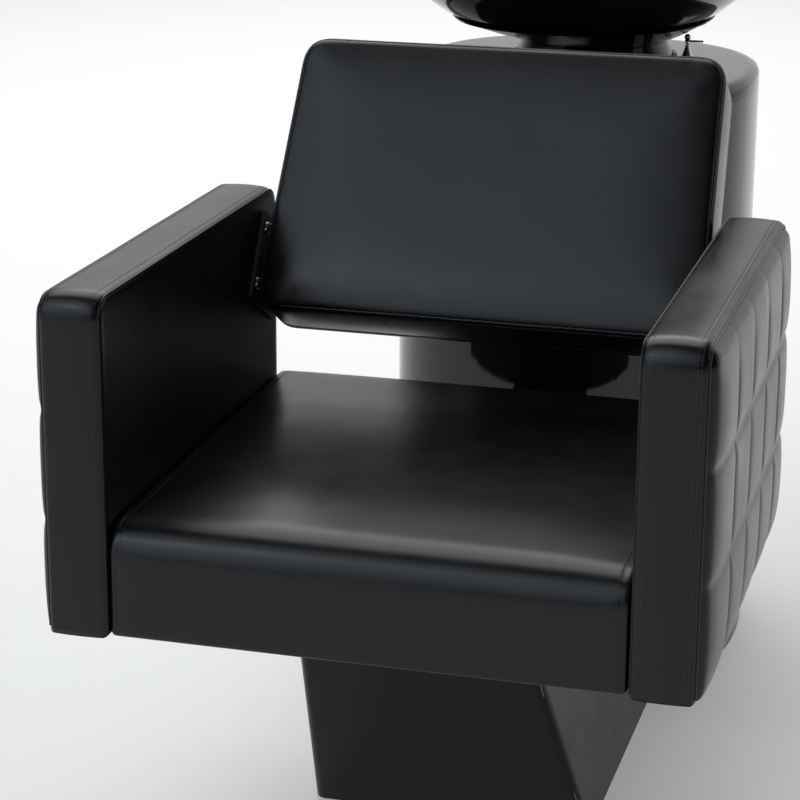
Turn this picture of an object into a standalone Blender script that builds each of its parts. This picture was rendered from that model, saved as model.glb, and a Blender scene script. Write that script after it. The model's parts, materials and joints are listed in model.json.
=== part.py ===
"""Shampoo backwash unit: an armchair on a flared plinth, joined to a cabinet with a tilting bowl.

Lengths are in metres and +Z is up. Every piece hangs on the empty "front_line", which stands on
the floor below the arms' front edge, so a y value is a distance behind that edge.
"""
import math

import bmesh
import bpy
from mathutils import Matrix, Vector

NAME = "shampoo_backwash_unit"

# Driving dimensions
LENGTH = 1.252          # arms' front edge to the door hinge at the cabinet's back
GAP = 0.0003            # between pieces that touch
SEAT_WIDTH = 0.520      # between the arms
ARM_THICK = 0.066
ARM_DEPTH = 0.537
ARM_TOP = 0.677
ARM_BOTTOM = 0.329
ARM_BOLT_X = 0.289
COVER_WALL = 0.006      # padded cover around an arm's wooden core
BAND_WIDTH = 0.057
CORE_WIDTH = 0.0345
SEAT_FRONT = 0.003
SEAT_REAR = 0.555
SEAT_TOP_FRONT = 0.440
SEAT_TOP_REAR = 0.449
BACK_TILT = math.radians(31.7)
BACK_FOOT = (0.0, 0.440, 0.575)
BACK_HALF_WIDTH = 0.243
BACK_HEIGHT = 0.304
BACK_THICK = 0.080
BACK_SCREW_HEIGHTS = (0.012, 0.078)
BACK_SCREW_DEPTH = 0.008
BRACKET_WALL = 0.004
BOARD_INSET = 0.028     # from the pad's edge to its backing board
BACK_BOARD_THICK = 0.0115

# Cabinet: a rounded column whose plan is a superellipse
CABINET_MID = 1.000
CABINET_HALF_WIDTH = 0.2245
CABINET_HALF_DEPTH = 0.243
CABINET_POWER = 2.4
CABINET_FLARE = 0.009
FLARE_TOP = 0.120
SHELL_TOP = 0.7352
SHELL_WALL = 0.005
DECK_TOP = 0.757
DECK_WALL = 0.006
FOOT_THICK = 0.012
FOOT_BOLT_X = 0.120
FOOT_BOLT_Y = 0.900
PLAN_STEPS = 60

# Plinth below the seat
PLINTH_TOP = 0.298
PLINTH_HALF_WIDTH = 0.161
PLINTH_SIDE_SLOPE = 0.113
PLINTH_FRONT = 0.359
PLINTH_FRONT_SLOPE = 0.607
PLINTH_REAR = 0.830
PLINTH_WALL = 0.004

# Steel support
POST_MID = 0.440
POST_HALF = 0.030
POST_WALL = 0.003
RAIL_WIDTH = 0.030
RAIL_HEIGHT = 0.025
RAIL_WALL = 0.0025
RAIL_FRONT = 0.120
RAIL_REAR = 0.460
RAIL_HALF = 0.316
HEAD_PLATE_HALF = 0.090
BASE_PLATE_THICK = 0.008
BOARD_THICK = 0.015
BASE_BOLT_X = 0.090
BASE_BOLT_Y = 0.600
BOLT_HOLE = 0.0055      # radius

# Bowl: its neck is a zone of a ball around the tilt axis, which turns inside the deck's opening
TILT_Y = 1.085
TILT_Z = 0.735
BALL_RADIUS = 0.105
NECK_WALL = 0.004
NECK_TOP = 0.777
NECK_BOTTOM = 0.692
DECK_OPENING = 0.1075
BOWL_STEPS = 64
RIM_DROP = 0.020        # the rim falls towards the front by this much
NOTCH_DEPTH = 0.042
NOTCH_HALF_WIDTH = 0.066
LEDGE_Z = 0.965
DRAIN_Z = 0.7985

# Fittings on the ledge
MIXER = (0.0, 1.183)
SHOWER = (0.105, 1.168)
MIXER_RADIUS = 0.0225
CAP_BASE = 1.0305
LEVER_AXIS_Z = 1.043

# Water supply and waste
VALVE_X = 0.100
VALVE_Y = 1.100
VALVE_AXIS_Z = 0.330
VALVE_TOP = 0.366
HOSE_RADIUS = 0.0065
TRAP_TOP = 0.450
OUTLET_Y = 1.175
WASTE_TAIL = 0.745
HOSE_RIBS = 8

# Rear door
DOOR_HALF_WIDTH = 0.120
DOOR_BOTTOM = 0.130
DOOR_TOP = 0.620
DOOR_GAP = 0.0012
HINGE_RADIUS = 0.005
KNUCKLE = 0.030
HINGE_HEIGHTS = (0.200, 0.520)
LEAF_THICK = 0.0018
LATCH_X = 0.098
LATCH_Z = 0.375
FRONT_SCREW_X = 0.137
FRONT_SCREW_Z = 0.440

# One turn-and-lock lever stands on the deck beside the bowl's neck
LOCK = (0.128, 1.050)


# ---------------------------------------------------------------- scene helpers

def clear_scene():
    for obj in list(bpy.data.objects):
        bpy.data.objects.remove(obj, do_unlink=True)
    for collection in list(bpy.data.collections):
        bpy.data.collections.remove(collection)


def new_collection(name):
    collection = bpy.data.collections.new(name)
    bpy.context.scene.collection.children.link(collection)
    return collection


def new_material(name, colour, roughness, metallic=0.0):
    material = bpy.data.materials.new(name)
    material.use_nodes = True
    shader = material.node_tree.nodes["Principled BSDF"]
    shader.inputs["Base Color"].default_value = (*colour, 1.0)
    shader.inputs["Roughness"].default_value = roughness
    shader.inputs["Metallic"].default_value = metallic
    return material


def new_empty(name, location, parent=None, rotation=(0.0, 0.0, 0.0)):
    empty = bpy.data.objects.new(name, None)
    empty.empty_display_size = 0.05
    PARTS.objects.link(empty)
    empty.location = location
    empty.rotation_euler = rotation
    empty.parent = parent
    return empty


def add_object(name, data, material, location=(0.0, 0.0, 0.0)):
    """Links a mesh or curve as a part and hangs it on the front line."""
    obj = bpy.data.objects.new(name, data)
    PARTS.objects.link(obj)
    obj.location = location
    obj.parent = FRONT_LINE
    if material is not None:
        data.materials.append(material)
    return obj


def ride(axis, *pieces):
    """Hangs pieces on an axis empty, in place."""
    for piece in pieces:
        piece.location = Vector(piece.location) - Vector(axis.location)
        piece.parent = axis


def mesh_from(bm, name):
    bmesh.ops.recalc_face_normals(bm, faces=bm.faces)
    mesh = bpy.data.meshes.new(name)
    bm.to_mesh(mesh)
    bm.free()
    return mesh


def smooth(obj, degrees=35.0):
    obj.data.shade_smooth()
    obj.data.set_sharp_from_angle(angle=math.radians(degrees))
    return obj


# ---------------------------------------------------------------- modelling helpers

def box(name, low, high, material, bevel=0.0, segments=2):
    """A box between two corners, with its edges rounded by a Bevel modifier."""
    centre = (Vector(low) + Vector(high)) / 2
    size = Vector(high) - Vector(low)
    bm = bmesh.new()
    bmesh.ops.create_cube(bm, size=1.0)
    bmesh.ops.scale(bm, vec=size, verts=bm.verts)
    obj = add_object(name, mesh_from(bm, name), material, centre)
    if bevel > 0.0:
        modifier = obj.modifiers.new("rounded_edges", "BEVEL")
        modifier.width = bevel
        modifier.segments = segments
        modifier.limit_method = "ANGLE"
    return obj


def cylinder(name, radius, length, centre, axis, material, segments=24, top_radius=None):
    """A cylinder or cone around X, Y or Z; a cone's top_radius is at the axis's far end."""
    bm = bmesh.new()
    bmesh.ops.create_cone(bm, cap_ends=True, segments=segments, radius1=radius,
                          radius2=radius if top_radius is None else top_radius, depth=length)
    obj = add_object(name, mesh_from(bm, name), material, centre)
    if axis == "X":
        obj.rotation_euler = (0.0, math.pi / 2, 0.0)
    elif axis == "Y":
        obj.rotation_euler = (-math.pi / 2, 0.0, 0.0)
    return smooth(obj)


def turned(name, profile, material, location=(0.0, 0.0, 0.0), steps=22, closed=False):
    """Turns a profile of (radius, height) points around Z with a Screw modifier."""
    mesh = bpy.data.meshes.new(name)
    count = len(profile)
    edges = [(i, i + 1) for i in range(count - 1)]
    if closed:
        edges.append((count - 1, 0))
    mesh.from_pydata([(r, 0.0, z) for r, z in profile], edges, [])
    obj = add_object(name, mesh, material, location)
    screw = obj.modifiers.new("turn", "SCREW")
    screw.steps = steps
    screw.render_steps = steps
    screw.use_merge_vertices = True
    screw.merge_threshold = 0.00005
    screw.use_smooth_shade = True
    return obj


def loft(name, rings, material, closed=False, location=(0.0, 0.0, 0.0)):
    """Skins rings of equal length; an open row of rings is capped, a closed one meets itself."""
    bm = bmesh.new()
    rows = [[bm.verts.new(point) for point in ring] for ring in rings]
    count = len(rows[0])
    pairs = list(zip(rows, rows[1:]))
    if closed:
        pairs.append((rows[-1], rows[0]))
    for lower, upper in pairs:
        for i in range(count):
            j = (i + 1) % count
            bm.faces.new((lower[i], lower[j], upper[j], upper[i]))
    if not closed:
        bm.faces.new(rows[0])
        bm.faces.new(rows[-1])
    return add_object(name, mesh_from(bm, name), material, location)


def tube(name, points, radius, material, radii=None, sides=2):
    """A round bar along a poly line with closed ends."""
    curve = bpy.data.curves.new(name, "CURVE")
    curve.dimensions = "3D"
    curve.bevel_depth = radius
    curve.bevel_resolution = sides
    curve.use_fill_caps = True
    spline = curve.splines.new("POLY")
    spline.points.add(len(points) - 1)
    for i, point in enumerate(points):
        spline.points[i].co = (*point, 1.0)
        spline.points[i].radius = 1.0 if radii is None else radii[i]
    return add_object(name, curve, material)


def curve_to_mesh(obj):
    """Replaces a curve object by its welded mesh, so that it can take part in a Boolean."""
    bpy.context.view_layer.update()
    graph = bpy.context.evaluated_depsgraph_get()
    mesh = bpy.data.meshes.new_from_object(obj.evaluated_get(graph))
    bm = bmesh.new()
    bm.from_mesh(mesh)
    bmesh.ops.remove_doubles(bm, verts=bm.verts, dist=0.00001)
    bmesh.ops.recalc_face_normals(bm, faces=bm.faces)
    bm.to_mesh(mesh)
    bm.free()
    name, parent, location = obj.name, obj.parent, obj.location.copy()
    bpy.data.objects.remove(obj, do_unlink=True)
    solid = bpy.data.objects.new(name, mesh)
    PARTS.objects.link(solid)
    solid.location = location
    solid.parent = parent
    return solid


def combine(target, tool, operation):
    """Adds a Boolean; the tool becomes a hidden wire object in the cutters' collection."""
    tool.name = tool.name + "_tool"
    tool.parent = target.parent
    PARTS.objects.unlink(tool)
    CUTTERS.objects.link(tool)
    tool.display_type = "WIRE"
    tool.hide_render = True
    modifier = target.modifiers.new(tool.name, "BOOLEAN")
    modifier.operation = operation
    modifier.solver = "EXACT"
    modifier.object = tool


def cut(target, *tools):
    for tool in tools:
        combine(target, tool, "DIFFERENCE")


def fuse(target, *tools):
    for tool in tools:
        combine(target, tool, "UNION")


def hole(target, radius, length, centre, axis, segments=16):
    """Drills a round hole; the drill's corners are turned a little off the target's own edges."""
    drill = cylinder(target.name + "_hole", radius, length, centre, axis, None, segments)
    drill.data.transform(Matrix.Rotation(0.11, 4, "Z"))
    cut(target, drill)


def smooth_path(points, count):
    """Points on a Catmull-Rom curve through a route's own points."""
    route = [Vector(p) for p in points]
    route = [2 * route[0] - route[1]] + route + [2 * route[-1] - route[-2]]
    spans = len(route) - 3
    path = []
    for step in range(count):
        place = spans * step / (count - 1)
        i = min(int(place), spans - 1)
        t = place - i
        a, b, c, d = route[i:i + 4]
        path.append(0.5 * (2 * b + (c - a) * t + (2 * a - 5 * b + 4 * c - d) * t * t
                           + (3 * b - a - 3 * c + d) * t * t * t))
    return path


# ---------------------------------------------------------------- plan outlines

def plan_point(half_x, half_y, power, middle_y, angle):
    """A point of a superellipse in plan."""
    c = math.cos(angle)
    s = math.sin(angle)
    x = half_x * math.copysign(abs(c) ** (2 / power), c)
    y = half_y * math.copysign(abs(s) ** (2 / power), s)
    return x, middle_y + y


def cabinet_ring(z, inset=0.0):
    """The cabinet's outline at a height, moved inwards by inset."""
    flare = CABINET_FLARE * max(0.0, 1.0 - z / FLARE_TOP) ** 2
    half_x = CABINET_HALF_WIDTH + flare - inset
    half_y = CABINET_HALF_DEPTH + flare - inset
    ring = []
    for i in range(PLAN_STEPS):
        angle = 2 * math.pi * i / PLAN_STEPS
        x, y = plan_point(half_x, half_y, CABINET_POWER, CABINET_MID, angle)
        ring.append((x, y, z))
    return ring


def circle_ring(radius, middle_y, z, steps):
    angles = [2 * math.pi * i / steps for i in range(steps)]
    return [(radius * math.cos(a), middle_y + radius * math.sin(a), z) for a in angles]


def cabinet_wall_y(x):
    """Depth of the cabinet's rear wall at a distance from the middle."""
    share = 1.0 - (abs(x) / CABINET_HALF_WIDTH) ** CABINET_POWER
    return CABINET_MID + CABINET_HALF_DEPTH * share ** (1 / CABINET_POWER)


def bowl_point(station, angle):
    """A point of the bowl on one station: middle y, half width, half depth, power, z, rim share."""
    middle, half_x, half_y, power, z, share = station
    x, y = plan_point(half_x, half_y, power, middle, angle)
    fall = RIM_DROP * min(1.0, max(0.0, (TILT_Y - y) / 0.365))
    dip = 0.0
    if y < middle:
        dip = NOTCH_DEPTH * math.exp(-(x / NOTCH_HALF_WIDTH) ** 4)
    return x, y, z - share * (fall + dip)


def bowl_ring(station):
    return [bowl_point(station, 2 * math.pi * i / BOWL_STEPS) for i in range(BOWL_STEPS)]


# ---------------------------------------------------------------- cabinet and plinth

FOOT_LEVELS = (0.0, 0.030, 0.070, FLARE_TOP)
WALL_LEVELS = FOOT_LEVELS + (SHELL_TOP,)


def wall_rings(levels):
    outer = [cabinet_ring(z) for z in levels]
    inner = [cabinet_ring(z, SHELL_WALL) for z in reversed(levels)]
    return outer + inner


def make_cabinet():
    shell = smooth(loft("cabinet_shell", wall_rings(WALL_LEVELS), GLOSS_BLACK, closed=True))
    opening = box("door_opening", (-DOOR_HALF_WIDTH, CABINET_MID, DOOR_BOTTOM),
                  (DOOR_HALF_WIDTH, CABINET_MID + 0.4, DOOR_TOP), None)
    cut(shell, opening)
    lean = wall_lean(FRONT_SCREW_X)
    for side, name in ((-1, "left"), (1, "right")):
        wall = Vector((side * FRONT_SCREW_X, front_wall_y(FRONT_SCREW_X), FRONT_SCREW_Z))
        turn = (math.pi / 2, 0.0, side * lean)
        drill = cylinder("screw_hole", 0.0035, 0.04, wall, "Z", None, 12)
        drill.rotation_euler = turn
        cut(shell, drill)
        outward = Vector((side * math.sin(lean), -math.cos(lean), 0.0))
        screw = dome_screw("cabinet_screw_" + name, wall + outward * 0.0006)
        screw.rotation_euler = turn


def dome_screw(name, place):
    """A dome-headed screw; its head's underside is at its origin and it points down -Z."""
    profile = [(0.0, 0.0043), (0.0034, 0.0039), (0.0059, 0.0024), (0.0069, 0.0), (0.003, 0.0),
               (0.003, -0.018), (0.0, -0.018)]
    return turned(name, profile, CHROME, place, 12)


def front_wall_y(x):
    return 2 * CABINET_MID - cabinet_wall_y(x)


def make_cabinet_base():
    """The board that the wall stands round, with passages for the pipes and two floor bolts."""
    rings = [cabinet_ring(z, SHELL_WALL + 0.004) for z in (0.0, FOOT_THICK)]
    base = loft("cabinet_base", rings, PLYWOOD)
    mid = FOOT_THICK / 2
    for x in (-VALVE_X, VALVE_X):
        hole(base, 0.011, 0.05, (x, VALVE_Y, mid), "Z")
    hole(base, 0.026, 0.05, (0.0, OUTLET_Y, mid), "Z")
    for side, name in ((-1, "left"), (1, "right")):
        hole(base, BOLT_HOLE, 0.05, (side * FOOT_BOLT_X, FOOT_BOLT_Y, mid), "Z")
        anchor_bolt("cabinet_anchor_" + name, side * FOOT_BOLT_X, FOOT_BOLT_Y, FOOT_THICK)


def anchor_bolt(name, x, y, top):
    """A hexagon bolt whose head stands on a plate, with its shank down to the floor."""
    bolt = cylinder(name, 0.0095, 0.007, (x, y, top + GAP + 0.0035), "Z", ZINC, 6)
    shank = cylinder(name + "_shank", 0.005, top + 0.001, (x, y, (top + 0.001) / 2 + 0.0004), "Z",
                     None, 12)
    fuse(bolt, shank)


def make_deck():
    top = DECK_TOP
    underside = top - DECK_WALL
    outline = [
        cabinet_ring(top, 0.016), cabinet_ring(top - 0.0008, 0.0085),
        cabinet_ring(top - 0.0040, 0.0030), cabinet_ring(top - 0.0095, 0.0004),
        cabinet_ring(SHELL_TOP + GAP), cabinet_ring(SHELL_TOP + GAP, SHELL_WALL),
        cabinet_ring(underside - 0.004, SHELL_WALL + 0.0006), cabinet_ring(underside, 0.0105),
    ]
    rings = [circle_ring(DECK_OPENING, TILT_Y, underside, PLAN_STEPS),
             circle_ring(DECK_OPENING, TILT_Y, top - 0.001, PLAN_STEPS),
             circle_ring(DECK_OPENING + 0.001, TILT_Y, top, PLAN_STEPS)] + outline
    deck = smooth(loft("cabinet_deck", rings, GLOSS_BLACK, closed=True))
    hole(deck, 0.0036, 0.05, (LOCK[0], LOCK[1], top), "Z", 12)
    lip = DECK_OPENING - GAP
    seal = [(lip, top + 0.0006), (lip, underside)]
    for z in (underside, top + 0.0006):
        seal.append((math.sqrt(BALL_RADIUS ** 2 - (z - TILT_Z) ** 2) + 0.0007, z))
    turned("neck_seal", seal, RUBBER, (0.0, TILT_Y, 0.0), 44, closed=True)


def make_plinth():
    def half_width(z):
        return PLINTH_HALF_WIDTH - PLINTH_SIDE_SLOPE * z

    def front(z):
        return PLINTH_FRONT - PLINTH_FRONT_SLOPE * z

    def section(z, inset, rear):
        half = half_width(z) - inset
        near = front(z) + inset
        return [(-half, near, z), (half, near, z), (half, rear, z), (-half, rear, z)]

    def block(name, low, high, inset, rear, material):
        return loft(name, [section(low, inset, rear), section(high, inset, rear)], material)

    plinth = block("plinth_shell", 0.0, PLINTH_TOP, 0.0, PLINTH_REAR, SATIN_BLACK)
    round_edges(plinth, 0.012, lambda a, b: abs(a.z - b.z) > 0.1 and a.y < 0.5)
    round_edges(plinth, 0.004, lambda a, b: min(a.z, b.z) > PLINTH_TOP - 0.001)
    hollow = block("plinth_hollow", -0.02, PLINTH_TOP - PLINTH_WALL, PLINTH_WALL,
                   PLINTH_REAR + 0.1, None)
    room = loft("plinth_cabinet_room",
                [cabinet_ring(z, -0.0006) for z in (-0.01,) + FOOT_LEVELS + (0.35,)], None)
    reach = POST_HALF + 0.0012
    slot = box("plinth_post_hole", (-reach, POST_MID - reach, 0.2),
               (reach, POST_MID + reach, 0.4), None)
    cut(plinth, hollow, room, slot)


def round_edges(obj, width, chosen, segments=3):
    """Bevels the edges of a mesh whose two ends pass the test."""
    bm = bmesh.new()
    bm.from_mesh(obj.data)
    edges = [e for e in bm.edges if chosen(e.verts[0].co, e.verts[1].co)]
    bmesh.ops.bevel(bm, geom=edges, offset=width, segments=segments, affect="EDGES", profile=0.5)
    bm.to_mesh(obj.data)
    bm.free()


# ---------------------------------------------------------------- steel support

def square_tube(name, low, high, wall, along, material):
    """A square tube with open ends along X (0) or Z (2)."""
    mid = (Vector(low) + Vector(high)) / 2
    half = (Vector(high) - Vector(low)) / 2
    across = [i for i in range(3) if i != along]

    def ring(end, inset):
        points = []
        for a, b in ((-1, -1), (1, -1), (1, 1), (-1, 1)):
            point = [0.0, 0.0, 0.0]
            point[along] = end
            point[across[0]] = mid[across[0]] + a * (half[across[0]] - inset)
            point[across[1]] = mid[across[1]] + b * (half[across[1]] - inset)
            points.append(point)
        return points

    ends = (mid[along] - half[along], mid[along] + half[along])
    rings = [ring(ends[0], 0.0), ring(ends[1], 0.0), ring(ends[1], wall), ring(ends[0], wall)]
    return loft(name, rings, material, closed=True)


def make_support():
    rail_bottom = ARM_BOTTOM - GAP - RAIL_HEIGHT
    plate_bottom = rail_bottom - 0.005
    base = box("base_plate", (-0.125, 0.392, 0.0), (0.125, 0.690, BASE_PLATE_THICK), STEEL)
    for side, name in ((-1, "left"), (1, "right")):
        hole(base, BOLT_HOLE, 0.05, (side * BASE_BOLT_X, BASE_BOLT_Y, BASE_PLATE_THICK / 2), "Z")
        anchor_bolt("plinth_anchor_" + name, side * BASE_BOLT_X, BASE_BOLT_Y, BASE_PLATE_THICK)
    square_tube("support_post", (-POST_HALF, POST_MID - POST_HALF, BASE_PLATE_THICK + GAP),
                (POST_HALF, POST_MID + POST_HALF, plate_bottom - GAP), POST_WALL, 2, STEEL)
    frame = box("seat_frame", (-HEAD_PLATE_HALF, RAIL_FRONT - 0.02, plate_bottom),
                (HEAD_PLATE_HALF, RAIL_REAR + 0.02, rail_bottom + 0.0005), STEEL)
    for name, y in (("front_rail", RAIL_FRONT), ("rear_rail", RAIL_REAR)):
        rail = square_tube(name, (-RAIL_HALF, y - RAIL_WIDTH / 2, rail_bottom),
                           (RAIL_HALF, y + RAIL_WIDTH / 2, rail_bottom + RAIL_HEIGHT), RAIL_WALL,
                           0, STEEL)
        fuse(frame, rail)
    for x in (-ARM_BOLT_X, ARM_BOLT_X):
        for y in (RAIL_FRONT, RAIL_REAR):
            hole(frame, 0.0045, 0.08, (x, y, rail_bottom + RAIL_HEIGHT / 2), "Z", 12)


# ---------------------------------------------------------------- seat

def make_seat():
    half = SEAT_WIDTH / 2 - 0.002
    board_half = half - 0.018
    low = ARM_BOTTOM + 0.0010
    sections = []
    for x in (-half, half):
        sections.append([(x, SEAT_FRONT, low), (x, SEAT_REAR, low), (x, SEAT_REAR, SEAT_TOP_REAR),
                         (x, SEAT_FRONT, SEAT_TOP_FRONT)])
    cushion = loft("seat_cushion", sections, LEATHER)
    round_edges(cushion, 0.020, lambda a, b: min(a.z, b.z) > 0.40, 3)
    round_edges(cushion, 0.008, lambda a, b: abs(a.z - b.z) > 0.04 and a.y < 0.05, 2)
    recess = box("board_recess", (-board_half - 0.0005, SEAT_FRONT + 0.0175, low - 0.05),
                 (board_half + 0.0005, SEAT_REAR - 0.0175, ARM_BOTTOM + BOARD_THICK + 0.0004), None)
    cut(cushion, recess)
    box("seat_board", (-board_half, SEAT_FRONT + 0.018, ARM_BOTTOM),
        (board_half, SEAT_REAR - 0.018, ARM_BOTTOM + BOARD_THICK), PLYWOOD)


# ---------------------------------------------------------------- arms

def make_arm(side, name):
    """One arm: cover with the front and top band, wooden core, quilted outer pad, bolts."""
    inner = SEAT_WIDTH / 2
    outer = inner + ARM_THICK
    wall = COVER_WALL

    def span(x0, x1, y0, y1, z0, z1):
        xs = sorted((side * x0, side * x1))
        return (xs[0], y0, z0), (xs[1], y1, z1)

    cover = box("arm_cover_" + name,
                *span(inner, inner + BAND_WIDTH, 0.0, ARM_DEPTH, ARM_BOTTOM, ARM_TOP), LEATHER)
    round_edges(cover, 0.022, is_top_end, 4)
    hollow = box("arm_hollow_" + name,
                 *span(inner + wall, inner + 0.2, wall, ARM_DEPTH - wall, ARM_BOTTOM - 0.1,
                       ARM_TOP - wall), None)
    cut(cover, hollow)
    core_in = inner + wall + GAP
    core_out = core_in + CORE_WIDTH
    core = box("arm_core_" + name,
               *span(core_in, core_out, wall + GAP, ARM_DEPTH - wall - GAP, ARM_BOTTOM,
                     ARM_TOP - wall - GAP), PLYWOOD)
    pad = box("arm_quilt_" + name,
              *span(core_out + GAP, outer, wall + GAP, ARM_DEPTH - wall - GAP, ARM_BOTTOM + 0.001,
                    ARM_TOP - wall - GAP), LEATHER)
    round_edges(pad, 0.0075, lambda a, b: outer_edge(pad, side, a, b), 2)
    head_top = ARM_BOTTOM - GAP - RAIL_HEIGHT - GAP
    for end, y in (("front", RAIL_FRONT), ("rear", RAIL_REAR)):
        hole(core, 0.0044, 0.08, (side * ARM_BOLT_X, y, ARM_BOTTOM), "Z", 12)
        bolt = cylinder("arm_bolt_" + name + "_" + end, 0.0085, 0.006,
                        (side * ARM_BOLT_X, y, head_top - 0.003), "Z", ZINC, 6)
        shank = cylinder("arm_bolt_shank", 0.004, 0.056, (side * ARM_BOLT_X, y, head_top + 0.027),
                         "Z", None, 12)
        fuse(bolt, shank)
    for level in BACK_SCREW_HEIGHTS:
        place = back_to_line((side * 0.26, BACK_SCREW_DEPTH, level))
        hole(cover, 0.0033, 0.04, place, "X", 12)
        hole(core, 0.0033, 0.036, place, "X", 12)


def is_top_end(a, b):
    """The two upper corners of the arm's side outline, as edges along X."""
    return abs(a.x - b.x) > 0.01 and min(a.z, b.z) > 0.1


def outer_edge(pad, side, a, b):
    half = max(v.co.x for v in pad.data.vertices)
    return min(side * a.x, side * b.x) > half - 0.0001


# ---------------------------------------------------------------- backrest

def back_to_line(point):
    """A point of the backrest's own frame (x, depth, height) in the front line's frame."""
    x, depth, height = point
    c = math.cos(BACK_TILT)
    s = math.sin(BACK_TILT)
    return x, BACK_FOOT[1] + depth * c + height * s, BACK_FOOT[2] - depth * s + height * c


def make_backrest():
    """The pad, its board and the bracket lean back with the empty that they hang on."""
    plane = new_empty("backrest_plane", BACK_FOOT, FRONT_LINE, (-BACK_TILT, 0.0, 0.0))
    half = BACK_HALF_WIDTH
    pad = box("back_cushion", (-half, 0.0, 0.0), (half, BACK_THICK, BACK_HEIGHT), LEATHER)
    round_edges(pad, 0.030, lambda a, b: abs(a.y - b.y) > 0.05, 4)
    round_edges(pad, 0.012, lambda a, b: max(a.y, b.y) < -BACK_THICK / 2 + 0.0001, 2)
    inset = BOARD_INSET
    depth = BACK_THICK - BACK_BOARD_THICK
    recess = box("back_recess", (-half + inset - 0.0005, depth - 0.0004, inset - 0.0005),
                 (half - inset + 0.0005, BACK_THICK + 0.05, BACK_HEIGHT - inset + 0.0005), None)
    cut(pad, recess)
    board = box("back_board", (-half + inset, depth, inset),
                (half - inset, BACK_THICK - GAP, BACK_HEIGHT - inset), BLACK_BOARD)
    reach = SEAT_WIDTH / 2 - 0.0005
    behind = BACK_THICK + GAP
    bracket = box("back_bracket", (-reach, behind, 0.004), (reach, behind + 0.005, 0.062), STEEL)
    pieces = [pad, board, bracket]
    tools = [recess]
    for side, name in ((-1, "left"), (1, "right")):
        xs = sorted((side * (reach - BRACKET_WALL), side * reach))
        plate = box("bracket_plate", (xs[0], -0.004, -0.008), (xs[1], behind + 0.004, 0.094), None)
        fuse(bracket, plate)
        tools.append(plate)
        for level, height in zip(("lower", "upper"), BACK_SCREW_HEIGHTS):
            drill = cylinder("bracket_hole", 0.0033, 0.02, (side * reach, BACK_SCREW_DEPTH, height),
                             "X", None, 12)
            cut(bracket, drill)
            tools.append(drill)
            pieces.append(back_screw("back_screw_" + name + "_" + level, side,
                                     reach - BRACKET_WALL - GAP, height))
    for piece in pieces + tools:
        piece.parent = plane


def back_screw(name, side, head_x, height):
    """A dome-headed screw that points outwards into the arm."""
    screw = dome_screw(name, (side * head_x, BACK_SCREW_DEPTH, height))
    screw.rotation_euler = (0.0, -side * math.pi / 2, 0.0)
    return screw


# ---------------------------------------------------------------- rear door

def make_door():
    """The door is the piece of wall that the opening leaves out, with a hinge and a turn latch."""
    door = smooth(loft("door_panel", wall_rings(WALL_LEVELS), GLOSS_BLACK, closed=True))
    half = DOOR_HALF_WIDTH - DOOR_GAP
    keep = box("door_outline", (-half, CABINET_MID, DOOR_BOTTOM + DOOR_GAP),
               (half, CABINET_MID + 0.4, DOOR_TOP - DOOR_GAP), None)
    combine(door, keep, "INTERSECT")
    axis_x = -DOOR_HALF_WIDTH
    axis_y = cabinet_wall_y(DOOR_HALF_WIDTH) + HINGE_RADIUS + 0.0015
    fixed = hinge_leaf("door_hinge_fixed", axis_x, axis_y, -1)
    moving = hinge_leaf("door_hinge_leaf", axis_x, axis_y, 1)
    for low in HINGE_HEIGHTS:
        high = low + KNUCKLE
        knuckle = cylinder("knuckle", HINGE_RADIUS, KNUCKLE, (axis_x, axis_y, low + KNUCKLE / 2),
                           "Z", None, 16)
        pin = cylinder("hinge_pin", 0.0025, 0.040, (axis_x, axis_y, high + 0.005), "Z", None, 12)
        fuse(fixed, knuckle, hinge_lug(axis_x, axis_y, -1, low + 0.001, high - 0.001), pin)
        upper = cylinder("upper_knuckle", HINGE_RADIUS, KNUCKLE,
                         (axis_x, axis_y, high + GAP + KNUCKLE / 2), "Z", None, 16)
        fuse(moving, upper, hinge_lug(axis_x, axis_y, 1, high + 0.002, high + KNUCKLE - 0.001))
        hole(moving, 0.0029, 0.034, (axis_x, axis_y, high + KNUCKLE / 2), "Z", 12)
    drill = cylinder("latch_hole", 0.0049, 0.04, (LATCH_X, cabinet_wall_y(LATCH_X), LATCH_Z), "Z",
                     None, 16)
    drill.rotation_euler = (-math.pi / 2, 0.0, -wall_lean(LATCH_X))
    cut(door, drill)
    axis = new_empty("door_axis", (axis_x, axis_y, 0.0), FRONT_LINE)
    ride(axis, door, moving)
    follow_with_tools(door, axis)
    follow_with_tools(moving, axis)
    make_latch(axis)


def make_latch(door_axis):
    """A turn latch: a round knob with a ridge outside and a tongue behind the door."""
    place = Vector((LATCH_X, cabinet_wall_y(LATCH_X), LATCH_Z)) - door_axis.location
    axis = new_empty("latch_axis", place, door_axis, (-math.pi / 2, 0.0, -wall_lean(LATCH_X)))
    latch = turned("door_latch", [(0.0, 0.0125), (0.0125, 0.0115), (0.014, 0.0095),
                                  (0.014, 0.0012), (0.0045, 0.0012), (0.0045, -0.0125),
                                  (0.0, -0.0125)], CHROME, steps=16)
    tongue = box("latch_tongue", (-0.006, -0.036, -0.0125), (0.006, 0.006, -0.0095), None)
    ridge = box("latch_ridge", (-0.0022, -0.0115, 0.010), (0.0022, 0.0115, 0.0165), None, 0.001, 1)
    fuse(latch, tongue, ridge)
    for piece in (latch, tongue, ridge):
        piece.parent = axis


def wall_lean(x):
    """The angle between the rear wall's outward direction and +Y at a distance from the middle."""
    step = 0.001
    return math.atan2(cabinet_wall_y(x - step) - cabinet_wall_y(x + step), 2 * step)


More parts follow.
